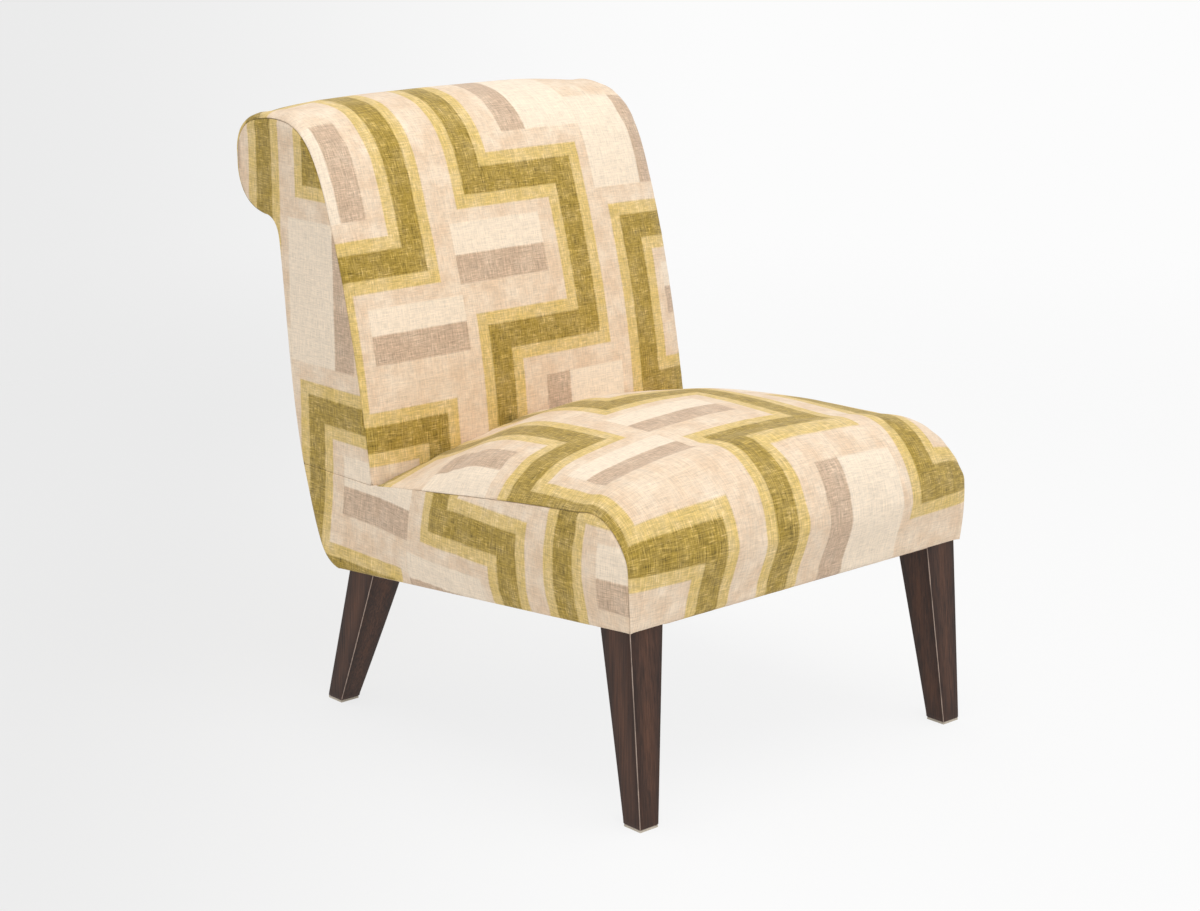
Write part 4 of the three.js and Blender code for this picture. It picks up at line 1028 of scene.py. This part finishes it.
def makeStapleTree():  # bent wire staples set at a pitch along a path
    tree = bpy.data.node_groups.new("stapledEdge", "GeometryNodeTree")
    for socket in ("Geometry", "Pitch", "Width", "Wire radius", "Leg"):
        kind = "NodeSocketGeometry" if socket == "Geometry" else "NodeSocketFloat"
        tree.interface.new_socket(socket, in_out="INPUT", socket_type=kind)
    tree.interface.new_socket("Geometry", in_out="OUTPUT", socket_type="NodeSocketGeometry")
    given = addNode(tree, "NodeGroupInput").outputs
    path = addNode(tree, "GeometryNodeMeshToCurve", {"Mesh": given["Geometry"]})
    spots = addNode(tree, "GeometryNodeResampleCurve", {"Curve": path, "Length": given["Pitch"]},
                    mode="LENGTH")
    # the wire's middle lies flat and its ends bend up into the rail
    wire = addNode(tree, "GeometryNodeCurvePrimitiveLine", {"End": (1, 0, 0)})
    wire = addNode(tree, "GeometryNodeResampleCurve", {"Curve": wire, "Count": 12})
    share = addNode(tree, "GeometryNodeSplineParameter").outputs["Factor"]
    side = addNode(tree, "ShaderNodeMath", (share, 0.5), operation="SUBTRACT")
    across = addNode(tree, "ShaderNodeMath", (side, given["Width"]), operation="MULTIPLY")
    double = addNode(tree, "ShaderNodeMath", (side, 2.0), operation="MULTIPLY")
    bent = addNode(tree, "ShaderNodeMath", (double, 8.0), operation="POWER")
    rise = addNode(tree, "ShaderNodeMath", (bent, given["Leg"]), operation="MULTIPLY")
    bentWire = addNode(tree, "ShaderNodeCombineXYZ", {"X": across, "Z": rise})
    wire = addNode(tree, "GeometryNodeSetPosition", {"Geometry": wire, "Position": bentWire})
    ring = addNode(tree, "GeometryNodeCurvePrimitiveCircle", {
        "Resolution": 6, "Radius": given["Wire radius"]})
    body = addNode(tree, "GeometryNodeCurveToMesh", {
        "Curve": wire, "Profile Curve": ring, "Fill Caps": True})
    tilt = addNode(tree, "FunctionNodeAlignRotationToVector", {
        "Vector": (0, math.sin(slope), math.cos(slope))}, axis="Z")
    ahead = addNode(tree, "GeometryNodeInputTangent")
    turned = addNode(tree, "FunctionNodeAlignRotationToVector", {
        "Rotation": tilt, "Vector": ahead}, axis="X", pivot_axis="Z")
    placed = addNode(tree, "GeometryNodeInstanceOnPoints", {
        "Points": spots, "Instance": body, "Rotation": turned})
    real = addNode(tree, "GeometryNodeRealizeInstances", {"Geometry": placed})
    finished = addNode(tree, "GeometryNodeSetMaterial", {"Geometry": real, "Material": finishes["steel"]})
    addNode(tree, "NodeGroupOutput", {"Geometry": finished})
    return tree


def bakeTree(piece, tree, values):  # runs the tree, keeps its mesh and drops the modifier
    nodesModifier = piece.modifiers.new("GeometryNodes", "NODES")
    nodesModifier.node_group = tree
    for item in tree.interface.items_tree:
        if item.in_out == "INPUT" and item.name in values:
            nodesModifier[item.identifier] = values[item.name]
    evaluated = piece.evaluated_get(bpy.context.evaluated_depsgraph_get())
    baked = bpy.data.meshes.new_from_object(evaluated)
    piece.modifiers.remove(nodesModifier)
    piece.data = baked
    baked.name = piece.name


bakeTree(stapleRow, makeStapleTree(), {"Pitch": staples["pitch"], "Width": staples["width"],
                                       "Wire radius": staples["wire"], "Leg": staples["leg"]})
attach(stapleRow, "root")
finishPiece(dustSheet, "black_lining", ["dust_cover"])
print("underside made,", len(stapleRow.data.vertices), "points of staples")


# Camera, light and floor

photoView = {"place": (-2.35114, -2.64984, 1.28868), "tilt": 75.2151, "turn": -41.7232, "lens": 77.41}
camera = addObject("photoCamera", bpy.data.cameras.new("photoCamera"))
camera.location = photoView["place"]
camera.rotation_euler = (math.radians(photoView["tilt"]), 0, math.radians(photoView["turn"]))
camera.data.lens = photoView["lens"]
camera.data.sensor_width = 36
scene.camera = camera

studio = {
    "world": 0.73,  # how bright the light from all round is
    "pale": "#fcfcfc", "shaded": "#ebebeb",  # the backdrop, paler to the right
    "across": (0.746, -0.666, 0),  # the way it gets paler
    "skyFade": (-0.24, 0.06), "floorFade": (-0.85, 0.2),  # how far along that it does, in each
    "aim": (0, 0, 0.4),  # the point that the lamps face
    # place, size and power of each
    "lamps": {"topSoftbox": ((-0.1, -1.0, 3.4), 2.6, 49), "frontSoftbox": ((-1.9, -3.2, 1.7), 2.2, 12)},
    "shadowShare": 0.13,  # how much of the floor's own light and shadow the camera sees
    "floorRadius": 40,
    "fade": (1.5, 4),  # radii between which the floor gives way to the backdrop
}
for name, (place, size, power) in studio["lamps"].items():
    lamp = bpy.data.lights.new(name, "AREA")
    lamp.energy, lamp.size = power, size
    holder = addObject(name, lamp)
    holder.location = place
    holder.rotation_euler = (Vector(studio["aim"]) - Vector(place)).to_track_quat("-Z", "Y").to_euler()


def backdropColour(tree, vector, fade):  # the pale studio colour along a world direction
    along = addNode(tree, "ShaderNodeVectorMath", (vector, studio["across"]), operation="DOT_PRODUCT")
    share = addNode(tree, "ShaderNodeMapRange", (along.outputs["Value"], *fade),
                    interpolation_type="SMOOTHSTEP")
    return addNode(tree, "ShaderNodeMix", {
        0: share, 6: toLinear(studio["shaded"]), 7: toLinear(studio["pale"])}, data_type="RGBA").outputs[2]


def seenDirectly(tree):  # 1 for what the camera, a reflection or glass sees
    ray = addNode(tree, "ShaderNodeLightPath").outputs
    share = ray["Is Camera Ray"]
    for kind in ("Is Glossy Ray", "Is Transmission Ray"):
        share = addNode(tree, "ShaderNodeMath", (share, ray[kind]), operation="MAXIMUM")
    return share


world = bpy.data.worlds.new("paleStudio")
scene.world = world
world.use_nodes = True
sky = world.node_tree
sky.nodes.clear()
direction = addNode(sky, "ShaderNodeTexCoord").outputs["Generated"]
light = addNode(sky, "ShaderNodeBackground", {"Color": (1, 1, 1, 1), "Strength": studio["world"]})
seen = addNode(sky, "ShaderNodeBackground", {
    "Color": backdropColour(sky, direction, studio["skyFade"]), "Strength": 1})
mixed = addNode(sky, "ShaderNodeMixShader", (seenDirectly(sky), light, seen))
addNode(sky, "ShaderNodeOutputWorld", (mixed,))

# Matt floor paint, rolled: pale and even, without gloss; far off it gives way to the backdrop
bpy.ops.mesh.primitive_circle_add(vertices=96, radius=studio["floorRadius"], fill_type="NGON")
floor = bpy.context.object
floor.name = "floor"
paint, tree, shader = newMaterial("mattFloorPaint", {
    "Base Color": toLinear("#eeeeee"), "Roughness": 0.9, "Specular IOR Level": 0.0})
place = addNode(tree, "ShaderNodeTexCoord").outputs["Object"]
glow = addNode(tree, "ShaderNodeEmission", {
    "Color": backdropColour(tree, place, studio["floorFade"]), "Strength": 1})
direct = seenDirectly(tree)
share = addNode(tree, "ShaderNodeMath", (direct, 1 - studio["shadowShare"]), operation="MULTIPLY")
near = addNode(tree, "ShaderNodeMixShader", (share, shader, glow))
distance = addNode(tree, "ShaderNodeVectorMath", (place,), operation="LENGTH").outputs["Value"]
away = addNode(tree, "ShaderNodeMapRange", (distance, *studio["fade"]),
               interpolation_type="SMOOTHSTEP")
gone = addNode(tree, "ShaderNodeMath", (direct, away), operation="MULTIPLY")
clear = addNode(tree, "ShaderNodeBsdfTransparent")
faded = addNode(tree, "ShaderNodeMixShader", (gone, near, clear))
tree.links.new(faded.outputs[0], tree.nodes["Material Output"].inputs["Surface"])
floor.data.materials.append(paint)
scene.view_settings.view_transform = "Standard"
print("camera, light and floor made")
